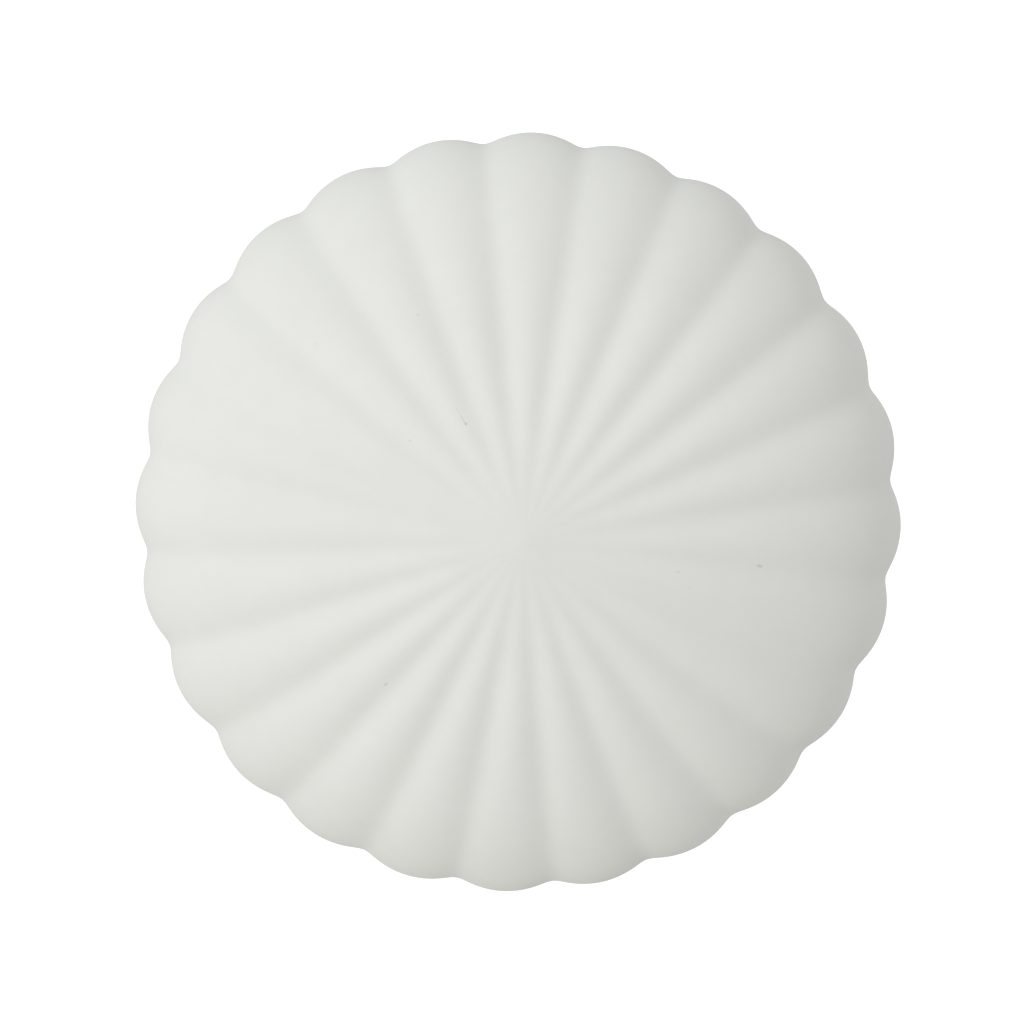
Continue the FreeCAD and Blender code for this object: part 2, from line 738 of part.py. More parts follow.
def make_cap_nuts():
    """Domed nuts on the studs, in front of the canopy."""
    front = canopy_front
    body = new_body("cap_nut")
    sketch = sketch_on(body, "XZ_Plane", "cap_nut_hexagon", front)
    hexagon(sketch, S.cap_nut_width)
    pad(body, sketch, S.cap_nut_hex, "cap_nut_flats")
    dome = sketch_on(body, "XY_Plane", "cap_nut_dome")
    wide = S.cap_nut_width * 0.44
    start = front + S.cap_nut_hex * 0.9
    end = front + S.cap_nut_height
    outline(dome, [(ZERO, -start), (wide, -start), (wide, -end), (ZERO, -end)])
    crown = revolve(body, dome, "cap_nut_crown")
    top, rim = float(end), float(wide)
    round_edges(body, crown, lambda e: circle_at(e, rim, -top), wide * 0.85, "cap_nut_dome_round")
    bore = sketch_on(body, "XY_Plane", "cap_nut_bore")
    depth = S.stud_reach + S.slide_gap
    outline(bore, [(ZERO, -(front - 1)), (S.stud_radius, -(front - 1)), (S.stud_radius, -depth), (ZERO, -depth)])
    groove(body, bore, "cap_nut_thread")
    place(body, S.stud_x)
    return left_and_right("cap_nuts", body)


def make_canopy():
    """Pressed pan over the wiring, open to the wall, its edge on the wall."""
    body = new_body("canopy")
    sketch = sketch_on(body, "XY_Plane", "canopy_profile")
    outer, front, wall = S.canopy_radius, canopy_front, S.canopy_wall
    outline(sketch, [
        (ZERO, -front), (outer, -front), (outer, ZERO), (outer - wall, ZERO),
        (outer - wall, -(front - wall)), (ZERO, -(front - wall)),
    ])
    pan = revolve(body, sketch, "canopy_turn")
    at = float(front)
    pan = round_edges(body, pan, lambda e: circle_at(e, float(outer), -at), S.canopy_corner, "canopy_outer_fold")
    inner = float(outer - wall)
    level = -float(front - wall)
    round_edges(body, pan, lambda e: circle_at(e, inner, level), S.canopy_corner - wall, "canopy_inner_fold")
    sketch = sketch_on(body, "XZ_Plane", "canopy_holes_rings", front - 2 * wall)
    ring(sketch, ZERO, ZERO, S.grommet_hole_radius)
    for side in (-1, 1):
        ring(sketch, side * S.stud_x, ZERO, S.stud_radius + S.hole_gap)
        ring(sketch, side * S.rivet_x, ZERO, S.rivet_radius)
        for level in (-1, 1):
            ring(sketch, side * S.bracket_screw_x, level * S.bracket_screw_z, S.bracket_screw_radius + S.hole_gap)
    ring(sketch, block_screw_x, block_screw_z, S.block_screw_radius + S.hole_gap)
    pocket(body, sketch, 4 * wall, "canopy_holes", back=True)
    return finish(body, "canopy")


def make_upper_hook_bracket():
    """Folded strip on the canopy: a foot, an arm out from the wall and a lip that rises away from it."""
    body = new_body("upper_hook_bracket")
    sketch = sketch_on(body, "YZ_Plane", "hook_profile")
    thick = S.plate_thickness
    rise = S.hook_lip * ROOT_HALF
    start_y = hook_face_sum - arm_top
    under_sum = hook_face_sum - 2 * lip_slant
    outline(sketch, [
        (-canopy_front, S.foot_inner), (-canopy_front, arm_top), (start_y, arm_top),
        (start_y - rise, arm_top + rise), (start_y - rise - lip_slant, arm_top + rise - lip_slant),
        (under_sum - S.arm_z, S.arm_z), (-canopy_front - thick, S.arm_z), (-canopy_front - thick, S.foot_inner),
    ])
    fold = pad(body, sketch, S.hook_width, "hook_fold", both=True)
    y0, z0 = -float(canopy_front), float(arm_top)
    y1, z1 = float(under_sum - S.arm_z), float(S.arm_z)
    fold = round_edges(body, fold, lambda e: along_x(e, y0, z0) or along_x(e, y1, z1), S.bend_radius, "hook_bends")
    y2, z2 = -float(canopy_front + thick), float(S.arm_z)
    round_edges(body, fold, lambda e: along_x(e, y2, z2), S.bend_radius - thick, "hook_inner_bends")
    plate_holes(body, S.bracket_screw_x, S.bracket_screw_z, S.bracket_screw_radius + S.hole_gap, "hook_holes")
    return finish(body, "upper_hook_bracket")


def make_lower_rest_bracket():
    """Folded strip on the canopy that holds the two bumpers."""
    body = new_body("lower_rest_bracket")
    sketch = sketch_on(body, "YZ_Plane", "rest_profile")
    thick = S.plate_thickness
    near, face = canopy_front, S.rest_face
    outline(sketch, [
        (-near, -S.foot_inner), (-near, -arm_top), (-(face - thick), -arm_top), (-(face - thick), -S.rest_far),
        (-face, -S.rest_far), (-face, -S.arm_z), (-(near + thick), -S.arm_z), (-(near + thick), -S.foot_inner),
    ])
    fold = pad(body, sketch, S.rest_width, "rest_fold", both=True)
    y0, z0 = -float(near), -float(arm_top)
    y1, z1 = -float(face), -float(S.arm_z)
    fold = round_edges(body, fold, lambda e: along_x(e, y0, z0) or along_x(e, y1, z1), S.bend_radius, "rest_bends")
    y2, z2 = -float(near + thick), -float(S.arm_z)
    y3, z3 = -float(face - thick), -float(arm_top)
    round_edges(body, fold, lambda e: along_x(e, y2, z2) or along_x(e, y3, z3), S.bend_radius - thick, "rest_inner_bends")
    # the foot's screw holes and the bumpers' holes lie in different walls of the fold
    middle = (near + face) / 2
    sketch = sketch_on(body, "XZ_Plane", "rest_foot_rings", middle)
    for side in (-1, 1):
        ring(sketch, side * S.bracket_screw_x, -S.bracket_screw_z, S.bracket_screw_radius + S.hole_gap)
    ring(sketch, block_screw_x, block_screw_z, S.block_screw_radius + S.hole_gap)
    pocket(body, sketch, face, "rest_foot_holes")
    sketch = sketch_on(body, "XZ_Plane", "rest_lip_rings", middle)
    for side in (-1, 1):
        ring(sketch, side * S.bumper_x, -S.boss_z, S.bumper_stem_radius)
    pocket(body, sketch, face, "rest_lip_holes", back=True)
    return finish(body, "lower_rest_bracket")


def make_bracket_screws():
    face = canopy_front + S.plate_thickness
    one = screw("bracket_screw", face, S.bracket_screw_length, S.bracket_screw_radius,
                S.bracket_head_radius, S.bracket_head_height, S.bracket_screw_x, S.bracket_screw_z, True)
    return four_corners("bracket_screws", one)


def hex_nut(name, back, height, width, bore, x, z):
    """A nut with its far face at back from the wall, running towards the wall."""
    body = new_body(name)
    sketch = sketch_on(body, "XZ_Plane", name + "_hexagon", back - height)
    hexagon(sketch, width)
    pad(body, sketch, height, name + "_flats")
    sketch = sketch_on(body, "XZ_Plane", name + "_bore", back - height)
    ring(sketch, ZERO, ZERO, bore)
    pocket(body, sketch, 3 * height, name + "_thread", both=True)
    place(body, x, ZERO, z)
    return body


def make_bracket_nuts():
    one = hex_nut("bracket_nut", canopy_front - S.canopy_wall, S.bracket_nut_height, S.bracket_nut_width,
                  S.bracket_screw_radius, S.bracket_screw_x, S.bracket_screw_z)
    return four_corners("bracket_nuts", one)


def make_bumpers():
    """Rubber pads snapped into the rest bracket, with a barb behind its sheet."""
    tip = plate_back - S.slide_gap
    face, back = S.rest_face, S.rest_face - S.plate_thickness
    end = back - S.bumper_barb_height
    soft = S.bumper_radius * 0.25
    one = turned_piece("bumper", [
        (tip, ZERO), (tip, S.bumper_radius - soft), (tip - soft, S.bumper_radius), (face, S.bumper_radius),
        (face, S.bumper_stem_radius), (back, S.bumper_stem_radius), (back, S.bumper_barb_radius),
        (end, S.bumper_stem_radius * 0.6), (end, ZERO),
    ], S.bumper_x, -S.boss_z)
    return left_and_right("bumpers", one)


# ---------------------------------------------------------------- lamps and their holders

def make_lamp_bracket():
    """U of folded steel on the canopy's middle; its flanges carry the two holders back to back."""
    body = new_body("lamp_bracket")
    near, far, thick, wide = canopy_front, S.flange_far, S.flange_thickness, S.flange_x
    sketch = sketch_on(body, "XY_Plane", "lamp_bracket_profile")
    outline(sketch, [
        (-wide, -near), (wide, -near), (wide, -far), (wide - thick, -far), (wide - thick, -(near + thick)),
        (-(wide - thick), -(near + thick)), (-(wide - thick), -far), (-wide, -far),
    ])
    fold = pad(body, sketch, 2 * S.flange_half, "lamp_bracket_fold", both=True)
    corner = float(wide)
    inner = float(wide - thick)

    def along_z(edge, x, y):
        box = edge.BoundBox
        return abs(abs(box.XMin) - x) < 0.05 and box.XLength < 0.05 and abs(box.YMin - y) < 0.05 \
            and box.YLength < 0.05 and box.ZLength > 1

    def flange_corner(edge):
        box = edge.BoundBox
        return box.XLength > 1 and box.XLength < 2 and abs(box.YMin + float(far)) < 0.05 and box.YLength < 0.05 \
            and abs(abs(box.ZMin) - float(S.flange_half)) < 0.05 and box.ZLength < 0.05

    outside = -float(near)
    inside = -float(near + thick)
    fold = round_edges(body, fold, lambda e: along_z(e, corner, outside), thick * 1.4, "lamp_bracket_bends")
    fold = round_edges(body, fold, lambda e: along_z(e, inner, inside), thick * 0.4, "lamp_bracket_inner_bends")
    round_edges(body, fold, flange_corner, S.flange_half * 0.4, "lamp_bracket_corners")
    sketch = sketch_on(body, "YZ_Plane", "flange_rings")
    ring(sketch, -S.lamp_y, ZERO, S.flange_hole_radius)
    for way in (-1, 1):
        ring(sketch, -S.lamp_y + way * S.holder_screw_y, ZERO, S.holder_screw_radius + S.hole_gap)
    pocket(body, sketch, 4 * wide, "flange_holes", both=True)
    sketch = sketch_on(body, "XZ_Plane", "lamp_bracket_base_rings", near)
    ring(sketch, ZERO, ZERO, S.grommet_hole_radius)
    for side in (-1, 1):
        ring(sketch, side * S.rivet_x, ZERO, S.rivet_radius)
    pocket(body, sketch, 4 * thick, "lamp_bracket_base_holes", both=True)
    return finish(body, "lamp_bracket")


def make_lamp_bracket_rivets():
    top = canopy_front + S.flange_thickness
    low = canopy_front - S.canopy_wall
    high = S.rivet_head_height
    head, stem = S.rivet_head_radius, S.rivet_radius
    one = turned_piece("lamp_bracket_rivet", [
        (top + high, ZERO), (top + high, head * 0.6), (top + high * 0.5, head * 0.92), (top, head), (top, stem),
        (low, stem), (low, head * 0.85), (low - high * 0.7, head * 0.7), (low - high * 0.7, ZERO),
    ], S.rivet_x)
    return left_and_right("lamp_bracket_rivets", one)


def make_lead_grommet():
    """Rubber ring in the hole through lamp bracket and canopy, round the leads."""
    top = canopy_front + S.flange_thickness
    low = canopy_front - S.canopy_wall
    bore, neck, flange, high = (S.grommet_bore_radius, S.grommet_hole_radius, S.grommet_flange_radius,
                                S.grommet_flange_height)
    soft = high * 0.4
    body = turned_piece("lead_grommet", [
        (top + high, bore), (top + high, flange - soft), (top + high - soft, flange), (top, flange), (top, neck),
        (low, neck), (low, flange), (low - high + soft, flange), (low - high, flange - soft), (low - high, bore),
    ])
    return finish(body, "lead_grommet")


def turned_on_x(body, name, points):
    """Turn a profile about the lamp's own axis: points are (along X, radius)."""
    sketch = sketch_on(body, "XY_Plane", name + "_profile")
    outline(sketch, points)
    return revolve(body, sketch, name + "_turn", "H_Axis")


def make_lampholder(label, side):
    """Ceramic holder on a flange: a round base, a nose with two slots, and bores for leads and screws."""
    body = new_body(label)
    back, front = S.flange_x, holder_front
    step = S.flange_x + S.holder_base_length
    wide, nose = S.holder_radius, S.holder_nose_radius
    soft = S.holder_radius * 0.09
    turned_on_x(body, label, [
        (back, ZERO), (back, wide), (step - soft, wide), (step, wide - soft), (step, nose), (front - soft, nose),
        (front, nose - soft), (front, ZERO),
    ])
    # slots for the looped pins and their contacts
    sketch = sketch_on(body, "YZ_Plane", label + "_slots", front)
    half_y = S.contact_width / 2 + S.slide_gap
    half_z = S.pin_wire_radius + S.contact_leaf + S.slide_gap
    for way in (-1, 1):
        box_outline(sketch, -half_y, half_y, way * S.pin_z - half_z, way * S.pin_z + half_z)
    pocket(body, sketch, S.holder_length - S.contact_start, label + "_slot_cut")
    # bores for the leads from the back
    sketch = sketch_on(body, "YZ_Plane", label + "_lead_bores", back)
    for way in (-1, 1):
        ring(sketch, ZERO, way * S.pin_z, S.lead_radius + S.hole_gap / 2)
    pocket(body, sketch, S.contact_start, label + "_lead_cut", back=True)
    # threaded bores for the holder screws
    sketch = sketch_on(body, "YZ_Plane", label + "_screw_bores", back)
    for way in (-1, 1):
        ring(sketch, way * S.holder_screw_y, ZERO, S.holder_screw_radius)
    pocket(body, sketch, S.holder_screw_length, label + "_screw_cut", back=True)
    return side_piece(body, label, side)


def side_piece(body, label, side):
    """Put a piece built on the right side at the lamps' height, or its mirror image on the left."""
    place(body, ZERO, -S.lamp_y, ZERO)
    if side > 0:
        return finish(body, label)
    image = mirrored(body, (1, 0, 0), label + "_image")
    body.Label = label + "_right_hand"
    return finish(image, label)


def make_holder_contacts():
    """Sprung brass clips at the bottom of the slots: a back and two leaves that grip a pin."""
    body = new_body("holder_contact")
    sketch = sketch_on(body, "XZ_Plane", "contact_profile")
    start = S.flange_x + S.contact_start
    end = start + S.contact_length
    leaf = S.contact_leaf
    inside = S.pin_wire_radius + S.hole_gap / 4
    outside = inside + leaf
    outline(sketch, [
        (start, -outside), (end, -outside), (end, -inside), (start + leaf, -inside), (start + leaf, inside),
        (end, inside), (end, outside), (start, outside),
    ])
    pad(body, sketch, S.contact_width, "contact_fold", both=True)
    place(body, ZERO, -S.lamp_y, S.pin_z)
    return four_corners("holder_contacts", body)


def make_holder_screws():
    """Screws through the flanges into the holders, with their heads inside the U."""
    body = new_body("holder_screw")
    under = S.flange_x - S.flange_thickness
    tip = under + S.holder_screw_length
    head = under - S.holder_head_height
    r, wide = S.holder_screw_radius, S.holder_head_radius
    turned_on_x(body, "holder_screw", [
        (head, ZERO), (head, wide * 0.75), (under - S.holder_head_height * 0.4, wide), (under, wide), (under, r),
        (tip - r * 0.4, r), (tip, r * 0.6), (tip, ZERO),
    ])
    place(body, ZERO, -S.lamp_y + S.holder_screw_y, ZERO)
    second = new_body("holder_screw_far")
    turned_on_x(second, "holder_screw_far", [
        (head, ZERO), (head, wide * 0.75), (under - S.holder_head_height * 0.4, wide), (under, wide), (under, r),
        (tip - r * 0.4, r), (tip, r * 0.6), (tip, ZERO),
    ])
    place(second, ZERO, -S.lamp_y - S.holder_screw_y, ZERO)
    images = [mirrored(body, (1, 0, 0), "holder_screw_side"), mirrored(second, (1, 0, 0), "holder_screw_far_side")]
    return group("holder_screws", [body, second] + images)


def make_bulb_envelope(label, side):
    """Frosted cover of the lamp: a tube with a domed end, closed by the base."""
    body = new_body(label)
    start = lamp_back + S.base_length
    end = start + S.envelope_length
    outer, wall = S.envelope_radius, S.envelope_wall
    bow = outer * 0.8
    tube = turned_on_x(body, label, [
        (start, outer - wall), (start, outer), (end, outer), (end, ZERO), (end - wall, ZERO),
        (end - wall, outer - wall),
    ])

    def end_circle(edge, radius, x):
        round_one = hasattr(edge.Curve, "Radius") and abs(edge.Curve.Radius - radius) < 0.01
        return round_one and abs(edge.BoundBox.XMin - x) < 0.01 and edge.BoundBox.XLength < 0.01

    tip, outside = float(end), float(outer)
    tube = round_edges(body, tube, lambda e: end_circle(e, outside, tip), bow, label + "_dome")
    bottom, inside = float(end - wall), float(outer - wall)
    round_edges(body, tube, lambda e: end_circle(e, inside, bottom), bow - wall, label + "_inner_dome")
    return side_piece(body, label, side)


def make_bulb_base(label, side):
    """Base of the lamp, with two bores for the pins."""
    body = new_body(label)
    start = lamp_back
    end = lamp_back + S.base_length
    wide = S.base_radius
    soft = wide * 0.1
    turned_on_x(body, label, [
        (start, ZERO), (start, wide - soft), (start + soft, wide), (end, wide), (end, ZERO),
    ])
    sketch = sketch_on(body, "YZ_Plane", label + "_pin_bores", start)
    half_y = S.pin_loop + S.pin_wire_radius
    half_z = S.pin_wire_radius
    for way in (-1, 1):
        box_outline(sketch, -half_y, half_y, way * S.pin_z - half_z, way * S.pin_z + half_z)
    pocket(body, sketch, pin_root(), label + "_pin_cut", back=True)
    return side_piece(body, label, side)


def pin_root():
    return S.base_length / 3


def make_bulb_pins(label, side):
    """Two pins of looped wire."""
    pins = []
    start = lamp_back + pin_root()
    bow = S.pin_loop
    tip = lamp_back - S.pin_length + bow
    for way, tag in ((-1, "low"), (1, "high")):
        body = new_body("%s_%s" % (label, tag))
        path = sketch_on(body, "XY_Plane", "%s_%s_path" % (label, tag))
        x0, x1, b = float(start), float(tip), float(bow)
        half_turn = Part.ArcOfCircle(Part.Circle(V(x1, 0, 0), V(0, 0, 1), b), math.pi / 2, 3 * math.pi / 2)
        path.addGeometry(Part.LineSegment(V(x0, b, 0), V(x1, b, 0)), False)
        path.addGeometry(half_turn, False)
        path.addGeometry(Part.LineSegment(V(x1, -b, 0), V(x0, -b, 0)), False)
        for i in range(2):
            path.addConstraint(Sketcher.Constraint("Tangent", i, 2, i + 1, 1))
        pin_point(path, 0, 1, (start, bow))
        pin_point(path, 1, 3, (tip, ZERO))
        pin_point(path, 2, 2, (start, -bow))
        section = sketch_on(body, "YZ_Plane", "%s_%s_section" % (label, tag), start)
        ring(section, bow, ZERO, S.pin_wire_radius)
        doc.recompute()
        loop = body.newObject("PartDesign::AdditivePipe", "%s_%s_loop" % (label, tag))
        loop.Profile = section
        loop.Spine = path
        doc.recompute()
        place(body, ZERO, -S.lamp_y, way * S.pin_z)
        pins.append(body)
    if side > 0:
        return group(label, pins)
    return group(label, [mirrored(pin, (1, 0, 0), pin.Name + "_image") for pin in pins])


def make_light_engine(label, side):
    """Ceramic stick with the lamp's light sources, standing on the base inside the envelope."""
    body = new_body(label)
    start = lamp_back + S.base_length
    end = start + S.engine_length
    r = S.engine_radius
    turned_on_x(body, label, [
        (start, ZERO), (start, r * 1.25), (start + r * 0.6, r * 1.25), (start + r * 0.6, r), (end - r * 0.3, r),
        (end, r * 0.7), (end, ZERO),
    ])
    return side_piece(body, label, side)


# ---------------------------------------------------------------- wiring

block_y = canopy_front - S.canopy_wall
block_middle = block_y - S.block_depth / 2
block_screw_x = S.pole_pitch / 2
block_screw_z = -(S.block_top + S.block_height / 2)


def make_terminal_block():
    """Three-pole block on the inside of the canopy's front."""
    body = new_body("terminal_block")
    half = S.block_width / 2
    top, low = -S.block_top, -(S.block_top + S.block_height)
    sketch = sketch_on(body, "XZ_Plane", "block_outline", block_y - S.block_depth)
    box_outline(sketch, -half, half, low, top)
    pad(body, sketch, S.block_depth, "block_pad")
    sketch = sketch_on(body, "XY_Plane", "block_bores", top)
    for pole in (-1, 0, 1):
        ring(sketch, pole * S.pole_pitch, -block_middle, S.tube_radius)
    pocket(body, sketch, S.block_height, "block_bore_cut")
    sketch = sketch_on(body, "XZ_Plane", "block_screw_bores", block_y - S.block_depth)
    for pole in (-1, 0, 1):
        for way in (-1, 1):
            ring(sketch, pole * S.pole_pitch, block_screw_z + way * clamp_spread(), S.clamp_radius)
    pocket(body, sketch, S.block_depth / 2, "block_screw_cut", back=True)
    sketch = sketch_on(body, "XZ_Plane", "block_fixing_bore", block_y - S.block_depth)
    ring(sketch, block_screw_x, block_screw_z, S.block_screw_radius)
    pocket(body, sketch, 2 * S.block_depth, "block_fixing_cut", both=True)
    return finish(body, "terminal_block")


def clamp_spread():
    return S.tube_length / 4


def make_terminal_tubes():
    tubes = []
    for pole in (-1, 0, 1):
        body = new_body("terminal_tube_%d" % (pole + 1))
        sketch = sketch_on(body, "XY_Plane", "tube_rings_%d" % (pole + 1), block_screw_z - S.tube_length / 2)
        ring(sketch, ZERO, -block_middle, S.tube_radius)
        ring(sketch, ZERO, -block_middle, S.tube_bore_radius)
        pad(body, sketch, S.tube_length, "tube_pad_%d" % (pole + 1))
        sketch = sketch_on(body, "XZ_Plane", "tube_screw_rings_%d" % (pole + 1), block_middle)
        for way in (-1, 1):
            ring(sketch, ZERO, block_screw_z + way * clamp_spread(), S.clamp_radius)
        pocket(body, sketch, S.tube_radius * 1.5, "tube_screw_cut_%d" % (pole + 1))
        place(body, pole * S.pole_pitch)
        tubes.append(body)
    return group("terminal_tubes", tubes)


def make_terminal_clamp_screws():
    """Slotted screws that clamp the conductors in the tubes."""
    screws = []
    for pole in (-1, 0, 1):
        for way in (-1, 1):
            tag = "clamp_%d_%d" % (pole + 1, way + 1)
            start = block_y - S.block_depth + S.clamp_radius * 0.4
            screws.append(turned_piece(tag, [
                (start, ZERO), (start, S.clamp_radius), (block_middle - S.clamp_radius, S.clamp_radius),
                (block_middle - S.clamp_radius, ZERO),
            ], pole * S.pole_pitch, block_screw_z + way * clamp_spread()))
    return group("terminal_clamp_screws", screws)


def make_terminal_fixing_screw():
    under = block_y - S.block_depth
    tip = canopy_front + S.plate_thickness * 2.5
    length = tip - under
    body = screw("terminal_fixing_screw", under, length, S.block_screw_radius, S.block_screw_radius * 1.9,
                 S.block_screw_radius * 1.2, block_screw_x, block_screw_z, False)
    return finish(body, "terminal_fixing_screw")


def make_terminal_fixing_nut():
    height = S.plate_thickness
    body = hex_nut("terminal_fixing_nut", canopy_front + 2 * height, height, S.block_screw_radius * 3.8,
                   S.block_screw_radius, block_screw_x, block_screw_z)
    return finish(body, "terminal_fixing_nut")


def make_earth_ring():
    """Ring terminal under the earth screw, its barrel pointing down."""
    body = new_body("earth_ring")
    near = S.bar_thickness
    sketch = sketch_on(body, "XZ_Plane", "ring_outline", near)
    ring(sketch, ZERO, ZERO, S.ring_radius)
    ring(sketch, ZERO, ZERO, S.earth_screw_radius + S.hole_gap)
    pad(body, sketch, S.ring_thickness, "ring_pad")
    barrel = S.ring_barrel_radius
    sketch = sketch_on(body, "XZ_Plane", "tongue_outline", near)
    box_outline(sketch, -barrel, barrel, -(S.ring_radius * 1.35), -(S.ring_radius * 0.8))
    pad(body, sketch, S.ring_thickness, "tongue_pad")
    sketch = sketch_on(body, "XY_Plane", "barrel_rings", -(S.ring_radius * 1.25) - S.ring_barrel_length)
    ring(sketch, ZERO, -(near + barrel), barrel)
    pad(body, sketch, S.ring_barrel_length, "barrel_pad")
    sketch = sketch_on(body, "XY_Plane", "barrel_bore", -(S.ring_radius * 1.25) - S.ring_barrel_length)
    ring(sketch, ZERO, -(near + barrel), S.lead_radius)
    pocket(body, sketch, S.ring_barrel_length * 0.8, "barrel_cut", back=True)
    place(body, S.earth_x)
    return finish(body, "earth_ring")


def make_earth_screw():
    under = S.bar_thickness + S.ring_thickness
    body = screw("earth_screw", under, under, S.earth_screw_radius, S.earth_head_radius, S.earth_head_height,
                 S.earth_x, ZERO, True)
    return finish(body, "earth_screw")


def lead(name, points):
    """A round lead along straight runs joined by tangent arcs, and its least radius."""
    spots = [V(*[float(c) for c in p]) for p in points]
    edges = []
    radii = []
    start = spots[0]
    for a, b, c in zip(spots, spots[1:], spots[2:]):
        into, out = (b - a), (c - b)
        turn = into.getAngle(out)
        radius = 0.45 * min(into.Length, out.Length) / math.tan(turn / 2)
        reach = 0.45 * min(into.Length, out.Length)
        into.normalize()
        out.normalize()
        first, last = b - into * reach, b + out * reach
        inward = out - into
        inward.normalize()
        middle = b + inward * (radius / math.cos(turn / 2) - radius)
        edges.append(Part.LineSegment(start, first).toShape())
        edges.append(Part.Arc(first, middle, last).toShape())
        radii.append(radius)
        start = last
    edges.append(Part.LineSegment(start, spots[-1]).toShape())
    spine = Part.Wire(edges)
    heading = spots[1] - spots[0]
    section = Part.Wire([Part.Circle(spots[0], heading, S.lead_radius.number).toShape()])
    tube = spine.makePipeShell([section], True, False)
    solid = tube if tube.ShapeType == "Solid" else Part.Solid(tube)
    area = math.pi * S.lead_radius.number ** 2
    print("%s: length %.1f, radii %s, volume ratio %.4f" % (
        name, spine.Length, ["%.1f" % r for r in radii], solid.Volume / (area * spine.Length)))
    return solid


def set_leads(label, routes):
    obj = doc.addObject("Part::Feature", label)
    solids = [lead(label, route) for route in routes]
    obj.Shape = solids[0] if len(solids) == 1 else Part.makeCompound(solids)
    obj.Placement = FreeCAD.Placement()
    return finish(obj, label)


def holder_leads(label, level, pole, depth):
    """Leads from one contact of each holder, through the grommet and down to a pole."""
    routes = []
    start = S.flange_x + S.contact_start
    end_z = block_screw_z + S.tube_length / 2
    for side in (-1, 1):
        x = side * S.lead_x
        z = level * S.lead_z
        goal = pole * S.pole_pitch + side * (S.lead_radius + S.hole_gap / 4)
        routes.append([
            (side * start, -S.lamp_y, level * S.pin_z),
            (x, -S.lamp_y, level * S.pin_z),
            (x, -(canopy_front + S.canopy_wall + S.grommet_flange_height * 2), z),
            (x, -depth, z),
            (goal, -block_middle, -(S.block_top - S.pole_pitch)),
            (goal, -block_middle, end_z),
        ])
    return set_leads(label, routes)


def make_earth_lead():
    """Lead from the earth pole up to the ring terminal."""
    end_z = block_screw_z + S.tube_length / 2
    barrel_y = S.bar_thickness + S.ring_barrel_radius
    barrel_low = -(S.ring_radius * 1.25) - S.ring_barrel_length * 0.2
    low = barrel_low - S.ring_barrel_length
    return set_leads("earth_lead", [[
        (S.earth_x, -barrel_y, barrel_low),
        (S.earth_x, -barrel_y, low - 2),
        (S.pole_pitch, -block_middle, -(S.block_top - S.pole_pitch / 2)),
        (S.pole_pitch, -block_middle, end_z),
    ]])


make_shell()
make_anchor_inserts()
make_upper_hanger_plate()
make_lower_spacer_plate()
make_hanger_washers()
make_hanger_screws()
make_crossbar()
make_canopy_studs()
make_canopy()
make_cap_nuts()
make_upper_hook_bracket()
make_lower_rest_bracket()
make_bracket_screws()
make_bracket_nuts()
make_bumpers()
make_lamp_bracket()
make_lamp_bracket_rivets()
make_lead_grommet()
for tag, side in (("left", -1), ("right", 1)):
    make_lampholder("lampholder_" + tag, side)
    make_bulb_base(tag + "_bulb_base", side)
    make_bulb_envelope(tag + "_bulb_envelope", side)
    make_bulb_pins(tag + "_bulb_pins", side)
    make_light_engine(tag + "_bulb_engine", side)
make_holder_contacts()
make_holder_screws()
make_terminal_block()
make_terminal_tubes()
make_terminal_clamp_screws()
make_terminal_fixing_screw()
make_terminal_fixing_nut()
make_earth_ring()
make_earth_screw()
holder_leads("live_leads", 1, -1, block_middle - S.lead_radius * 2)
holder_leads("neutral_leads", -1, 0, block_middle + S.lead_radius * 2)
make_earth_lead()

doc.recompute()
for obj in doc.Objects:
    if "Invalid" in obj.State or "Error" in obj.State:
        raise RuntimeError("%s failed: %s" % (obj.Label, obj.State))
for node in NODES:
    if node.Shape.isNull() or not node.Shape.isValid() or not node.Shape.Solids:
        raise RuntimeError("%s has no valid shape" % node.Label)

os.makedirs("parts", exist_ok=True)
for node in NODES:
    node.Shape.exportStep("parts/%s.step" % node.Label)
print("%d nodes, %d solids" % (len(NODES), sum(len(n.Shape.Solids) for n in NODES)))
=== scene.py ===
import json
import math
import bpy
import numpy as np
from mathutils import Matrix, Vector


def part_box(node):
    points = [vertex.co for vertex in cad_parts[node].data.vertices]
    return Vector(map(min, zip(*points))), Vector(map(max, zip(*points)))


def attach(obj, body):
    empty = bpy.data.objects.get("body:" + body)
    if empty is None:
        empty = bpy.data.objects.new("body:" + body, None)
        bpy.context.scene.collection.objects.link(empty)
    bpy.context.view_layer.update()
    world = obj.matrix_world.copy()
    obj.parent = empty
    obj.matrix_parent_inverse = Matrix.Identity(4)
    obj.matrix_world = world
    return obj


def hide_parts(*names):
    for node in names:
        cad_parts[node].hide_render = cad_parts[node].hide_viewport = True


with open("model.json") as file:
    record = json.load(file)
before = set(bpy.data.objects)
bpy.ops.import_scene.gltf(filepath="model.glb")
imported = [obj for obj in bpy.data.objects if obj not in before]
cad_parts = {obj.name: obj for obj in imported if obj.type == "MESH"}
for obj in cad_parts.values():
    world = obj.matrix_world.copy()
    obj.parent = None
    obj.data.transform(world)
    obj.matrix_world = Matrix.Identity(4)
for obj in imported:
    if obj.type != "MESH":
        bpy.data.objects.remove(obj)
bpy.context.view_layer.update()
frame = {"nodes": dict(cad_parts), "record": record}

bl_info = {
    "name": "Shell wall sconce",
    "version": (1, 0, 0),
    "blender": (4, 5, 0),
    "location": "3D View > Sidebar > Sconce",
    "description": "Builds a fluted plaster wall light and the finishes of its fittings",
    "category": "Add Mesh",
}

MIX_FACTOR, MIX_FIRST, MIX_SECOND, MIX_RESULT = 0, 6, 7, 2    # colour sockets of a Mix node
MERGE_DISTANCE = 1e-6           # points of a new piece that are closer than this are one
SMOOTH_ANGLE = math.radians(35)


# ------------------------------------------------------------------ sizes and colours

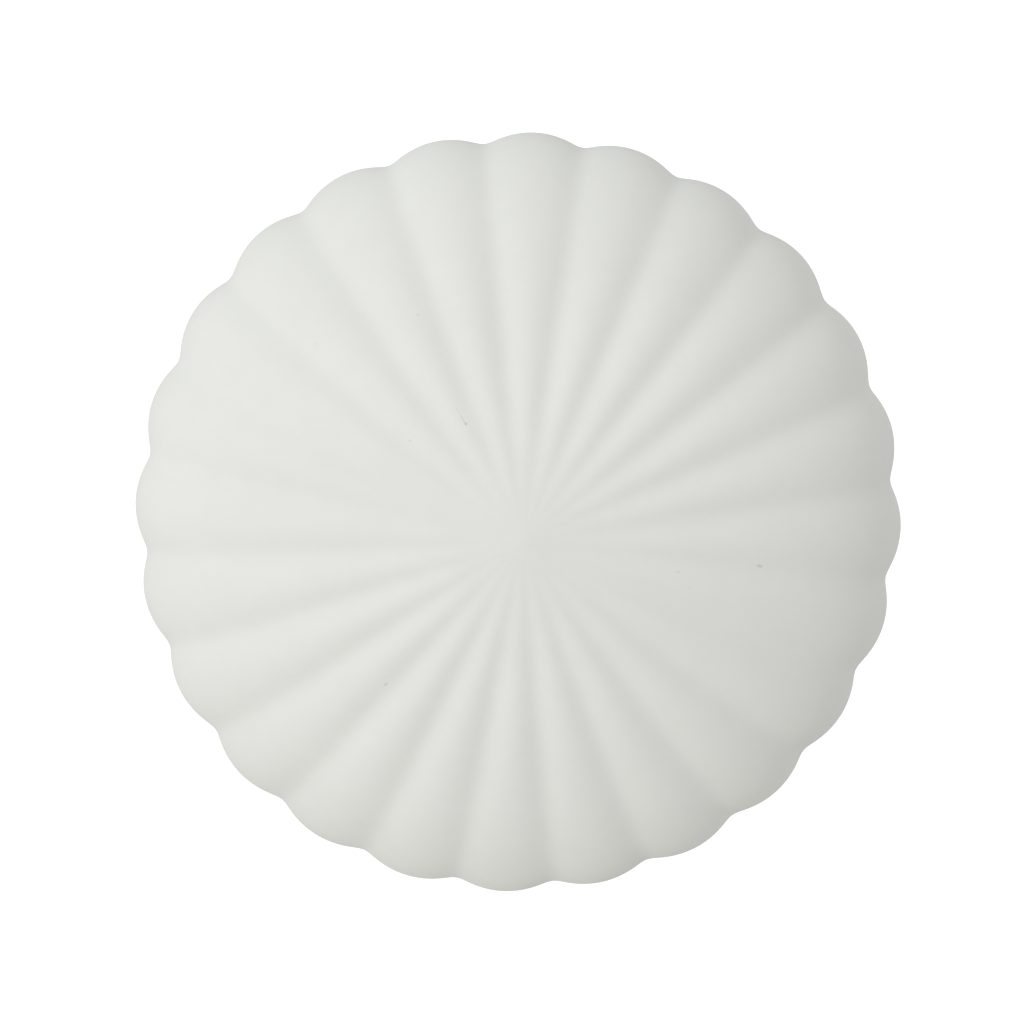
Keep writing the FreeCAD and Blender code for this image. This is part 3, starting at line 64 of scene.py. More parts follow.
def length_prop(name, description, default):
    return bpy.props.FloatProperty(name=name, description=description, default=default, unit="LENGTH")


def number_prop(name, description, default):
    return bpy.props.FloatProperty(name=name, description=description, default=default)


def angle_prop(name, description, degrees):
    return bpy.props.FloatProperty(
        name=name, description=description, default=math.radians(degrees), subtype="ANGLE")


def colour_prop(name, description, default):
    return bpy.props.FloatVectorProperty(
        name=name, description=description, subtype="COLOR", size=3, default=default, min=0, max=1)


class DomeSizes(bpy.types.PropertyGroup):
    """The scalloped dome."""
    crown_radius: length_prop("Crown radius", "Centre to the top of a flute at the rim", 0.1525)
    depth: length_prop("Depth", "Rim to the middle of the dome", 0.072)
    standoff: length_prop("Standoff", "Wall to the widest line of the rim", 0.022)
    ease: length_prop("Rim ease", "Rounded outer edge of the rim", 0.0012)
    flutes: bpy.props.IntProperty(name="Flutes", description="Flutes round the dome", default=24, min=3)
    turn: angle_prop("Turn", "Turn of the top flute, clockwise", 2.25)
    slope: number_prop("Flank slope", "Least slope of a flute's flank", 0.36)
    slope_growth: number_prop("Slope growth", "Growth of the flank slope away from its station", 2.05)
    slope_station: bpy.props.FloatProperty(
        name="Slope station", description="Where the flank slope is least, 0 middle to 1 rim",
        default=0.75, subtype="FACTOR")
    crease_soft_centre: length_prop("Crease softness, middle", "Softness of a crease near the middle", 0.0039)
    crease_soft_rim: length_prop("Crease softness, rim", "Softness of a crease at the rim", 0.0021)
    crease_soft_share: number_prop(
        "Softness share", "Greatest softness of a crease over half a flute's width", 0.9)
    peak_slope: number_prop("Peak slope", "Slope of the low peak at the middle", 0.09)
    peak_reach: length_prop("Peak reach", "Radius that the low peak fades out at", 0.060)
    peak_round: length_prop("Peak rounding", "Rounding of the peak's tip", 0.0015)
    round_power: number_prop("Round power", "Power of the outline across the radius", 1.97)
    depth_power: number_prop("Depth power", "Power of the outline across the depth", 1.81)
    hollow_radius: length_prop("Hollow radius", "Hollow of the dome at the rim", 0.142)
    hollow_depth: length_prop("Hollow depth", "Hollow of the dome, rim to middle", 0.0605)
    boss_face: length_prop("Boss face", "Wall to the face of a cast boss", 0.050)
    boss_x: length_prop("Boss sideways", "Boss to the centre line, sideways", 0.038)
    boss_z: length_prop("Boss upwards", "Boss to the centre line, upwards", 0.066)
    boss_radius: length_prop("Boss radius", "Cast boss at its face", 0.0085)


class SconceColours(bpy.types.PropertyGroup):
    """Base colours of the finishes."""
    plaster: colour_prop("Plaster", "Matte white casting plaster", (0.808, 0.820, 0.782))
    enamel: colour_prop("Enamel", "White powder coat of the folded steel", (0.80, 0.80, 0.77))
    zinc: colour_prop("Zinc", "Zinc-plated steel", (0.62, 0.64, 0.66))
    brass: colour_prop("Brass", "Turned and pressed brass", (0.72, 0.53, 0.24))
    rubber: colour_prop("Rubber", "Black rubber", (0.035, 0.034, 0.033))
    lamp_base: colour_prop("Lamp base", "Moulded base of a lamp", (0.82, 0.82, 0.80))
    block: colour_prop("Block", "Moulded body of the terminal block", (0.80, 0.80, 0.77))
    live: colour_prop("Live", "Sleeve of the live leads", (0.17, 0.07, 0.03))
    neutral: colour_prop("Neutral", "Sleeve of the neutral leads", (0.03, 0.09, 0.36))
    earth: colour_prop("Earth", "Sleeve of the earth lead", (0.07, 0.26, 0.04))
    earth_stripe: colour_prop("Earth stripe", "Stripe round the earth lead's sleeve", (0.74, 0.62, 0.05))


class StageSizes(bpy.types.PropertyGroup):
    """Camera, lamps and floor."""
    distance: length_prop("Distance", "Camera to the dome", 2.276)
    elevation: angle_prop("Elevation", "Camera above the dome", 8.0)
    azimuth: angle_prop("Azimuth", "Camera to the left of the dome", 1.2)
    lens: number_prop("Lens", "Focal length in millimetres", 201.0)
    aim: bpy.props.FloatVectorProperty(
        name="Aim", description="Point that the camera looks at", size=3, subtype="TRANSLATION",
        default=(-0.0027, -0.022, 0.0012))
    key: number_prop("Key", "Strength of the soft key", 1.04)
    key_angle: angle_prop("Key angle", "Angle that the soft key fills", 14)
    key_left: number_prop("Key left", "Key's direction, share to the left of the camera", 0.637)
    key_front: number_prop("Key front", "Key's direction, share towards the camera", 0.771)
    sky: number_prop("Sky", "Strength of the even light", 0.70)
    floor_drop: length_prop("Floor drop", "Floor below the middle of the dome", 0.42)
    floor_size: length_prop("Floor size", "Side of the floor", 60.0)
    floor_colour: colour_prop(
        "Floor colour", "Pale floor that lights the dome from below", (0.815, 0.80, 0.79))
    floor_lift: number_prop("Floor lift", "Extra brightness of the floor to the camera", 0.60)


# ------------------------------------------------------------------ finishes

class Value:
    """A number that varies over a surface. Python's operators on it add Math nodes."""

    def __init__(self, recipe, socket):
        self.recipe = recipe
        self.socket = socket

    def math(self, operation, first, second):
        return self.recipe.node("ShaderNodeMath", {"operation": operation}, {0: first, 1: second})

    def __add__(self, other):
        return self.math("ADD", self, other)

    __radd__ = __add__

    def __sub__(self, other):
        return self.math("SUBTRACT", self, other)

    def __rsub__(self, other):
        return self.math("SUBTRACT", other, self)

    def __mul__(self, other):
        return self.math("MULTIPLY", self, other)

    __rmul__ = __mul__

    def most(self, other):
        """The greater of the two."""
        return self.math("MAXIMUM", self, other)

    def fade(self, low, high):
        """0 below low and 1 above high, or the other way round, with soft ends."""
        return self.recipe.node(
            "ShaderNodeMapRange", {"interpolation_type": "SMOOTHSTEP"},
            {"Value": self, "From Min": low, "From Max": high, "To Min": 0.0, "To Max": 1.0})


class Recipe:
    """A material under construction."""

    def __init__(self, name):
        self.material = bpy.data.materials.new(name)
        self.material.use_nodes = True
        self.tree = self.material.node_tree
        self.shader = self.tree.nodes["Principled BSDF"]
        self.place = self.node("ShaderNodeTexCoord", {}, {}, "Object")

    def node(self, kind, settings, inputs, output=0):
        """Any node: its settings first, then the values or links of its sockets."""
        made = self.tree.nodes.new(kind)
        for key, value in settings.items():
            setattr(made, key, value)
        for key, value in inputs.items():
            self.feed(made.inputs[key], value)
        return Value(self, made.outputs[output])

    def feed(self, socket, value):
        if isinstance(value, Value):
            self.tree.links.new(value.socket, socket)
        elif socket.type == "RGBA" and len(value) == 3:
            socket.default_value = (*value, 1.0)
        else:
            socket.default_value = value

    def set(self, **values):
        """Sockets of the shader, with underscores for spaces."""
        for key, value in values.items():
            self.feed(self.shader.inputs[key.replace("_", " ")], value)

    def noise(self, scale, detail=3.0, rough=0.55, at=None):
        """Soft noise from 0 to 1, scale in lumps to the metre."""
        return self.node("ShaderNodeTexNoise", {}, {
            "Vector": at or self.place, "Scale": scale, "Detail": detail, "Roughness": rough})

    def tint(self, amount, first, second):
        """A colour between two colours: first where amount is 0 and second where it is 1."""
        return self.node("ShaderNodeMix", {"data_type": "RGBA"},
                         {MIX_FACTOR: amount, MIX_FIRST: first, MIX_SECOND: second}, MIX_RESULT)

    def cells(self, scale, **settings):
        """Distance to the nearest point of a scattered field, scale in points to the metre."""
        inputs = {"Vector": self.place, "Scale": scale, "Randomness": settings.pop("randomness", 1.0)}
        return self.node("ShaderNodeTexVoronoi", settings, inputs, "Distance")

    def stretch(self, scale):
        """Object coordinates stretched along the axes."""
        return self.node("ShaderNodeMapping", {}, {"Vector": self.place, "Scale": scale})

    def bump(self, height, depth, strength=1.0, under=None):
        """A bumped normal: height from 0 to 1 over a depth in metres."""
        inputs = {"Height": height, "Distance": depth, "Strength": strength}
        if under is not None:
            inputs["Normal"] = under
        return self.node("ShaderNodeBump", {}, inputs)


def shade_of(colour, factor):
    """A lighter or darker shade of a colour."""
    return tuple(min(1.0, c * factor) for c in colour)


def streak(r, x, z, heading, length, width):
    """1 on a small mark on the dome's face, seen from the front, fading to 0 at its edge."""
    def reach(offset, direction):
        slots = {0: offset, 1: direction}
        return r.node("ShaderNodeVectorMath", {"operation": "DOT_PRODUCT"}, slots, "Value")

    offset = r.node("ShaderNodeVectorMath", {"operation": "SUBTRACT"}, {0: r.place, 1: (x, 0.0, z)})
    along = reach(offset, (math.cos(heading) / length, 0.0, math.sin(heading) / length))
    across = reach(offset, (-math.sin(heading) / width, 0.0, math.cos(heading) / width))
    return (along * along + across * across).fade(1.5, 0.2)


# sideways, upwards, heading, half length, half width, depth of a hairline and of small knocks on the face
SMALL_MARKS = [
    (-0.0229, 0.0464, -1.06, 0.0021, 0.00030, 0.50),
    (-0.0218, 0.0448, -1.06, 0.0006, 0.00045, 1.00),
    (-0.0249, 0.0499, -1.00, 0.0019, 0.00030, 0.28),
    (-0.0435, 0.0380, 0.40, 0.0005, 0.00040, 0.55),
    (-0.0402, 0.0857, -0.50, 0.0006, 0.00040, 0.50),
    (0.0929, -0.0131, -0.35, 0.0014, 0.00050, 0.85),
    (-0.0530, -0.0584, 0.60, 0.0010, 0.00040, 0.65),
    (0.0604, -0.0138, 0.20, 0.0010, 0.00045, 0.30),
    (0.0651, -0.0203, -0.60, 0.0013, 0.00040, 0.26),
]


def plaster_outside(colour):
    """Sanded casting plaster: faint clouding, fine grain, sparse pinholes and a few small marks."""
    r = Recipe("plaster_face")
    cloud = r.noise(14.0, 3.0, 0.5)
    mottle = r.noise(95.0, 4.0, 0.6)
    grain = r.noise(1700.0, 2.0, 0.6)
    shift = (cloud * 0.6 + mottle * 0.4).fade(0.3, 0.7)
    tone = r.tint(shift, shade_of(colour, 0.985), shade_of(colour, 1.012))
    cell = r.cells(120.0)
    pick = r.noise(23.0, 1.0, 0.5)
    marks = cell.fade(0.045, 0.025) * pick.fade(0.66, 0.70) * 0.6
    for x, z, heading, length, width, depth in SMALL_MARKS:
        marks = marks.most(streak(r, x, z, heading, length, width) * depth)
    tone = r.tint(marks * 0.55, tone, shade_of(colour, 0.62))
    normal = r.bump(grain, 0.00004, 0.5)
    normal = r.bump(mottle, 0.00012, 0.35, normal)
    normal = r.bump(1.0 - marks, 0.00025, 0.6, normal)
    r.set(Base_Color=tone, Roughness=(0.80 + grain * 0.14), Normal=normal, Specular_IOR_Level=0.35)
    return r.material


def plaster_inside(colour):
    """The hollow as it left the mould: brushed, with coarser grain and more pinholes."""
    r = Recipe("plaster_hollow")
    cloud = r.noise(22.0, 4.0, 0.6)
    brush = r.noise(1.0, 3.0, 0.6, r.stretch((60.0, 60.0, 260.0)))
    grain = r.noise(900.0, 3.0, 0.6)
    cell = r.cells(150.0)
    hole = cell.fade(0.12, 0.07) * r.noise(30.0, 1.0, 0.5).fade(0.5, 0.56)
    tone = r.tint(cloud.fade(0.3, 0.7), shade_of(colour, 0.93), shade_of(colour, 0.99))
    tone = r.tint(hole * 0.5, tone, shade_of(colour, 0.6))
    normal = r.bump(brush, 0.0004, 0.6)
    normal = r.bump(grain, 0.00008, 0.6, normal)
    normal = r.bump(1.0 - hole, 0.0004, 0.7, normal)
    r.set(Base_Color=tone, Roughness=(0.84 + grain * 0.12), Normal=normal, Specular_IOR_Level=0.3)
    return r.material


def enamel(colour):
    """White powder coat: fine orange peel, faint clouding and a few specks of dust."""
    r = Recipe("powder_coat")
    peel = r.noise(1100.0, 2.0, 0.5)
    cloud = r.noise(40.0, 3.0, 0.5)
    dust = r.noise(320.0, 4.0, 0.7).fade(0.62, 0.78)
    tone = r.tint(cloud.fade(0.35, 0.65), shade_of(colour, 0.975), shade_of(colour, 1.01))
    tone = r.tint(dust * 0.18, tone, (0.52, 0.50, 0.46))
    r.set(Base_Color=tone, Roughness=(0.36 + cloud * 0.12 + dust * 0.1), Normal=r.bump(peel, 0.00006, 0.45),
          Specular_IOR_Level=0.5)
    return r.material


def zinc_plate(colour):
    """Bright zinc plate over rolled steel: fine rolling lines and cloudy passivation."""
    r = Recipe("zinc_plate")
    roll = r.noise(1.0, 3.0, 0.6, r.stretch((60.0, 900.0, 1500.0)))
    cloud = r.noise(85.0, 4.0, 0.6)
    stain = r.noise(26.0, 3.0, 0.6).fade(0.5, 0.75)
    tone = r.tint(cloud.fade(0.3, 0.7), shade_of(colour, 0.86), shade_of(colour, 1.08))
    tone = r.tint(stain * 0.25, tone, (0.62, 0.60, 0.50))
    r.set(Base_Color=tone, Roughness=(0.26 + roll * 0.14 + cloud * 0.12), Normal=r.bump(roll, 0.00003, 0.4),
          Metallic=1.0)
    return r.material


def brass_metal(colour):
    """Brass with turning lines and a little tarnish."""
    r = Recipe("brass")
    turned = r.noise(2200.0, 2.0, 0.5)
    cloud = r.noise(170.0, 4.0, 0.6)
    tone = r.tint(cloud.fade(0.35, 0.7), shade_of(colour, 1.05), shade_of(colour, 0.72))
    r.set(Base_Color=tone, Roughness=(0.24 + cloud * 0.22), Normal=r.bump(turned, 0.00002, 0.4), Metallic=1.0)
    return r.material


def black_rubber(colour):
    """Moulded rubber with a dusty bloom."""
    r = Recipe("rubber")
    bloom = r.noise(130.0, 4.0, 0.65)
    grain = r.noise(1500.0, 2.0, 0.6)
    tone = r.tint(bloom.fade(0.4, 0.75), colour, (0.09, 0.088, 0.085))
    r.set(Base_Color=tone, Roughness=(0.62 + bloom * 0.25), Normal=r.bump(grain, 0.00005, 0.5),
          Specular_IOR_Level=0.4)
    return r.material


def holder_ceramic():
    """Unglazed steatite of the holders: warm white with fine specks."""
    r = Recipe("steatite")
    speck = r.noise(900.0, 2.0, 0.7).fade(0.66, 0.76)
    cloud = r.noise(120.0, 3.0, 0.5)
    tone = r.tint(cloud, (0.78, 0.74, 0.64), (0.84, 0.81, 0.73))
    tone = r.tint(speck * 0.5, tone, (0.45, 0.38, 0.28))
    grain = r.noise(1600.0, 2.0, 0.5)
    r.set(Base_Color=tone, Roughness=(0.42 + grain * 0.2), Normal=r.bump(grain, 0.00003, 0.5))
    return r.material


def moulded_white(name, colour, rough):
    """White moulded plastic with a fine spark-eroded grain."""
    r = Recipe(name)
    grain = r.noise(2600.0, 2.0, 0.5)
    cloud = r.noise(90.0, 3.0, 0.5)
    tone = r.tint(cloud, shade_of(colour, 0.95), shade_of(colour, 1.02))
    r.set(Base_Color=tone, Roughness=(rough + grain * 0.12), Normal=r.bump(grain, 0.00002, 0.4))
    return r.material


def frosted_cover():
    """Frosted cover of a lamp, milky and slightly warm where the light source is behind it."""
    r = Recipe("frosted_cover")
    cloud = r.noise(140.0, 3.0, 0.5)
    grain = r.noise(2500.0, 2.0, 0.5)
    tone = r.tint(cloud, (0.88, 0.83, 0.74), (0.93, 0.89, 0.82))
    r.set(Base_Color=tone, Roughness=(0.30 + grain * 0.1), Normal=r.bump(grain, 0.00001, 0.5),
          Subsurface_Weight=0.35, Subsurface_Scale=0.004, Subsurface_Radius=(1.0, 0.95, 0.85))
    return r.material


def light_source():
    """Ceramic stick with rows of yellow phosphor."""
    r = Recipe("light_source")
    cell = r.cells(420.0, randomness=0.1, distance="CHEBYCHEV")
    mask = cell.fade(0.36, 0.30)
    tone = r.tint(mask, (0.80, 0.80, 0.78), (0.86, 0.68, 0.16))
    r.set(Base_Color=tone, Roughness=(0.5 + mask * 0.2))
    return r.material


def sleeve(name, colour, stripe=None):
    """Silicone sleeve of a lead, with an optional coloured stripe."""
    r = Recipe(name)
    cloud = r.noise(230.0, 3.0, 0.6)
    grain = r.noise(1900.0, 2.0, 0.5)
    tone = r.tint(cloud, shade_of(colour, 0.8), shade_of(colour, 1.15))
    if stripe:
        band = r.node("ShaderNodeTexWave", {"wave_type": "BANDS", "bands_direction": "DIAGONAL"},
                      {"Vector": r.place, "Scale": 110.0, "Distortion": 1.0}, "Fac")
        tone = r.tint(band.fade(0.45, 0.55), tone, stripe)
    r.set(Base_Color=tone, Roughness=(0.42 + cloud * 0.18), Normal=r.bump(grain, 0.00003, 0.4))
    return r.material


def dress(node, material):
    """Give a frame node its finish."""
    thing = frame["nodes"][node]
    if not thing.material_slots:
        thing.data.materials.append(material)
    for holder in thing.material_slots:
        holder.material = material


# ------------------------------------------------------------------ modelling helpers

def deselect_all():
    if bpy.context.object and bpy.context.object.mode != "OBJECT":
        bpy.ops.object.mode_set(mode="OBJECT")
    bpy.ops.object.select_all(action="DESELECT")


def settle(thing, name):
    """Finish a new piece: clean mesh, outward faces, place in the mesh and nothing left in the object."""
    deselect_all()
    thing.name = name
    thing.data.name = name
    thing.select_set(True)
    bpy.context.view_layer.objects.active = thing
    bpy.ops.object.transform_apply(location=True, rotation=True, scale=True)
    bpy.ops.object.mode_set(mode="EDIT")
    bpy.ops.mesh.select_all(action="SELECT")
    bpy.ops.mesh.remove_doubles(threshold=MERGE_DISTANCE)
    bpy.ops.mesh.normals_make_consistent(inside=False)
    bpy.ops.mesh.select_all(action="DESELECT")
    bpy.ops.object.mode_set(mode="OBJECT")
    bpy.ops.object.shade_smooth_by_angle(angle=SMOOTH_ANGLE)
    deselect_all()


def sheet_of_rows(rows, name):
    """A closed skin from rows of points, each row once round: a grid whose points are put in place."""
    deselect_all()
    rows = np.asarray(rows, dtype=float)
    count, around = rows.shape[:2]
    bpy.ops.mesh.primitive_grid_add(x_subdivisions=around, y_subdivisions=count - 1, size=1.0)
    skin = bpy.context.object
    if len(skin.data.vertices) != count * (around + 1):
        raise RuntimeError("the grid has %d points" % len(skin.data.vertices))
    closed = np.concatenate([rows, rows[:, :1]], axis=1)
    skin.data.vertices.foreach_set("co", closed.reshape(-1))
    skin.data.update()
    skin.name = name
    return skin


# ------------------------------------------------------------------ the dome

PER_FLUTE = 24          # points across a flute
OUTER_ROWS = 92         # rows of points over the face, middle to rim
EASE_ROWS = 4           # rows over the rim's rounded edge
INNER_ROWS = 34         # rows over the hollow
EASE_INWARDS = 0.75     # inward reach of the rounded edge over its height
HOLLOW_EDGE = 0.0008    # rounding where the rim meets the hollow
WAVE_TERMS = 8          # terms of a flute's wave
FIT_ROUNDS = 20         # rounds of fitting the plain dome under its flutes
LEAST_HALF = 1e-6       # least half width of a flute, so that none is nought in the middle


def flute_wave(across, softness):
    """Height of a flute across its width, with soft creases, about a mean of nought."""
    total = np.zeros_like(across)
    for n in range(1, WAVE_TERMS + 1):
        sign = 1 if n % 2 else -1
        fade = np.exp(-((n * np.pi * softness) ** 2) / 2)
        total = total + sign * 4 / (np.pi * n) ** 2 * np.cos(n * np.pi * across) * fade
    return total


def peak(sizes, across):
    """Height of the low peak in the middle of the dome."""
    share = max(1.0 - math.hypot(across, sizes.peak_round) / sizes.peak_reach, 0.0)
    return sizes.peak_slope * sizes.peak_reach / 2 * share ** 2


def fluted_points(sizes, station, around, radius):
    """Radius and depth of the fluted face at a station, for places round it in flute widths."""
    turn = station * math.pi / 2
    depth = sizes.depth - peak(sizes, 0.0)
    r = radius * math.sin(turn) ** (2 / sizes.round_power)
    d = depth * max(math.cos(turn), 0.0) ** (2 / sizes.depth_power)
    slant_r = (r / radius) ** (sizes.round_power - 1) / radius
    slant_d = (d / depth) ** (sizes.depth_power - 1) / depth
    size = math.hypot(slant_r, slant_d)
    half = max(math.pi * r / sizes.flutes, LEAST_HALF)
    growth = sizes.slope_growth * (station - sizes.slope_station) ** 2
    height = (sizes.slope + growth) * half / 2
    soft = sizes.crease_soft_centre + (sizes.crease_soft_rim - sizes.crease_soft_centre) * station
    soft /= math.hypot(1.0, soft / (sizes.crease_soft_share * half))
    lift = height * flute_wave(around, soft / half)
    return r + lift * slant_r / size, d + peak(sizes, r) + lift * slant_d / size


def plain_radius(sizes):
    """Radius of the plain dome under flutes that reach the crown radius."""
    radius = sizes.crown_radius
    for _ in range(FIT_ROUNDS):
        radius += sizes.crown_radius - float(fluted_points(sizes, 1.0, np.zeros(1), radius)[0][0])
    return radius


def dome_rows(sizes):
    """Rows of points over the face, round the rim and over the hollow, all round the dome."""
    total = sizes.flutes * PER_FLUTE
    place = np.arange(total) / PER_FLUTE
    around = (place - np.round(place)) * 2
    angle = 2 * np.pi * place / sizes.flutes + sizes.turn
    radius = plain_radius(sizes)
    rows = []

    def add(r, y):
        rows.append(np.stack([r * np.sin(angle), np.broadcast_to(y, angle.shape), r * np.cos(angle)], axis=1))

    front = -sizes.standoff
    add(np.zeros(total), front - sizes.depth)
    for i in range(1, OUTER_ROWS + 1):
        r, d = fluted_points(sizes, i / OUTER_ROWS, around, radius)
        add(r, front - d)
    rim = fluted_points(sizes, 1.0, around, radius)[0]
    inwards = EASE_INWARDS * sizes.ease
    for i in range(1, EASE_ROWS + 1):
        a = i / EASE_ROWS * math.pi / 2
        add(rim - inwards * (1 - math.cos(a)), front + sizes.ease * math.sin(a))
    back = front + sizes.ease
    edge = sizes.hollow_radius
    add((rim - inwards) * 0.5 + (edge + HOLLOW_EDGE) * 0.5, back)
    for share in (0, 1 / 3, 2 / 3, 1):
        a = share * math.pi / 2
        add(np.full(total, edge + HOLLOW_EDGE * (1 - math.sin(a))), back - HOLLOW_EDGE * (1 - math.cos(a)))
    for i in range(1, INNER_ROWS + 1):
        a = i / INNER_ROWS * math.pi / 2
        add(np.full(total, edge * math.cos(a)), front - sizes.hollow_depth * math.sin(a))
    return rows


def hollow_y(sizes, x, z):
    """Wall distance of the hollow's surface at a place, as a y."""
    reach = min((x * x + z * z) / sizes.hollow_radius ** 2, 1.0)
    return -sizes.standoff - sizes.hollow_depth * math.sqrt(1 - reach)


# depth from a boss's face to its root and radius over the radius at the face, each as a share
BOSS_OUTLINE = [(0.0, 0.0), (0.0, 0.86), (0.0, 0.95), (0.012, 1.0), (0.2, 1.03), (0.45, 1.08), (0.65, 1.15),
                (0.80, 1.27), (0.91, 1.48), (0.97, 1.72), (1.0, 1.95)]
BOSS_POINTS = 64        # points round a boss
BOSS_OVERLAP = 0.0006   # boss's flare into the dome
BOSS_ROOT = 0.002       # boss's closed end into the dome
DEPTH_SLACK = 0.002     # dome past its solid, at most


class SCONCE_OT_dome(bpy.types.Operator):
    """Model the scalloped plaster dome with its hollow and its four cast bosses"""
    bl_idname = "sconce.dome"
    bl_label = "Plaster dome"

    def execute(self, context):
        sizes = context.scene.sconce_dome
        colours = context.scene.sconce_colours
        dome = sheet_of_rows(dome_rows(sizes), "plaster_dome")
        outer = plaster_outside(colours.plaster)
        inner = plaster_inside(colours.plaster)
        dome.data.materials.append(outer)
        dome.data.materials.append(inner)
        face_rows = OUTER_ROWS + EASE_ROWS + 1
        slots = np.zeros(len(dome.data.polygons), dtype=np.int32)
        slots[face_rows * sizes.flutes * PER_FLUTE:] = 1
        dome.data.polygons.foreach_set("material_index", slots)
        settle(dome, "plaster_dome")
        dome_low = min(v.co.y for v in dome.data.vertices)
        if dome_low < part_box("shell")[0][1] - DEPTH_SLACK:
            raise RuntimeError("the dome is deeper than its solid")
        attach(dome, "dome")
        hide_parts("shell")
        for side in (-1, 1):
            for level in (-1, 1):
                self.boss(sizes, side, level, inner)
        return {"FINISHED"}

    def boss(self, sizes, side, level, material):
        """A cast boss that flares into the hollow."""
        cx, cz = side * sizes.boss_x, level * sizes.boss_z
        face = -sizes.boss_face
        angles = np.arange(BOSS_POINTS) * 2 * np.pi / BOSS_POINTS
        rows = []
        for along, wide in BOSS_OUTLINE:
            row = []
            for a in angles:
                x = cx + sizes.boss_radius * wide * math.cos(a)
                z = cz + sizes.boss_radius * wide * math.sin(a)
                root = hollow_y(sizes, x, z) - BOSS_OVERLAP
                row.append((x, face + along * (root - face), z))
            rows.append(row)
        rows.append([(cx, hollow_y(sizes, cx, cz) - BOSS_ROOT, cz)] * BOSS_POINTS)
        boss = sheet_of_rows(rows, "boss")
        boss.data.materials.append(material)
        tag = ("left" if side < 0 else "right") + ("_low" if level < 0 else "_high")
        settle(boss, "cast_boss_" + tag)
        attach(boss, "dome")
        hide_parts("shell")


# ------------------------------------------------------------------ finishes of the fittings

class SCONCE_OT_fittings(bpy.types.Operator):
    """Give every fitting behind the dome its finish"""
    bl_idname = "sconce.fittings"
    bl_label = "Fittings"

    def execute(self, context):
        colours = context.scene.sconce_colours
        finishes = {
            "white_steel": enamel(colours.enamel),
            "zinc_steel": zinc_plate(colours.zinc),
            "brass": brass_metal(colours.brass),
            "rubber": black_rubber(colours.rubber),
            "holder_ceramic": holder_ceramic(),
            "lamp_base": moulded_white("lamp_base", colours.lamp_base, 0.38),
            "lamp_cover": frosted_cover(),
            "light_source": light_source(),
            "block_plastic": moulded_white("block_plastic", colours.block, 0.42),
            "lead_live": sleeve("sleeve_brown", colours.live),
            "lead_neutral": sleeve("sleeve_blue", colours.neutral),
            "lead_earth": sleeve("sleeve_green", colours.earth, colours.earth_stripe),
        }
        slot_of = {part["node"]: part["material_slot"] for part in frame["record"]["subparts"]}
        for node in frame["nodes"]:
            if node != "shell":
                dress(node, finishes[slot_of[node]])
        return {"FINISHED"}


# ------------------------------------------------------------------ stage

def camera_axes(sizes):
    """Directions from the aim to the camera and to the camera's right."""
    away = Vector((-math.sin(sizes.azimuth) * math.cos(sizes.elevation),
                   -math.cos(sizes.azimuth) * math.cos(sizes.elevation), math.sin(sizes.elevation)))
    return away, Vector((math.cos(sizes.azimuth), -math.sin(sizes.azimuth), 0.0))


def stage_node(tree, kind, settings, inputs):
    """A node of the surround or the floor: its settings, then the values or links of its sockets."""
    made = tree.nodes.new(kind)
    for key, value in settings.items():
        setattr(made, key, value)
    for key, value in inputs.items():
        if isinstance(value, bpy.types.NodeSocket):
            tree.links.new(value, made.inputs[key])
        else:
            made.inputs[key].default_value = value
    return made


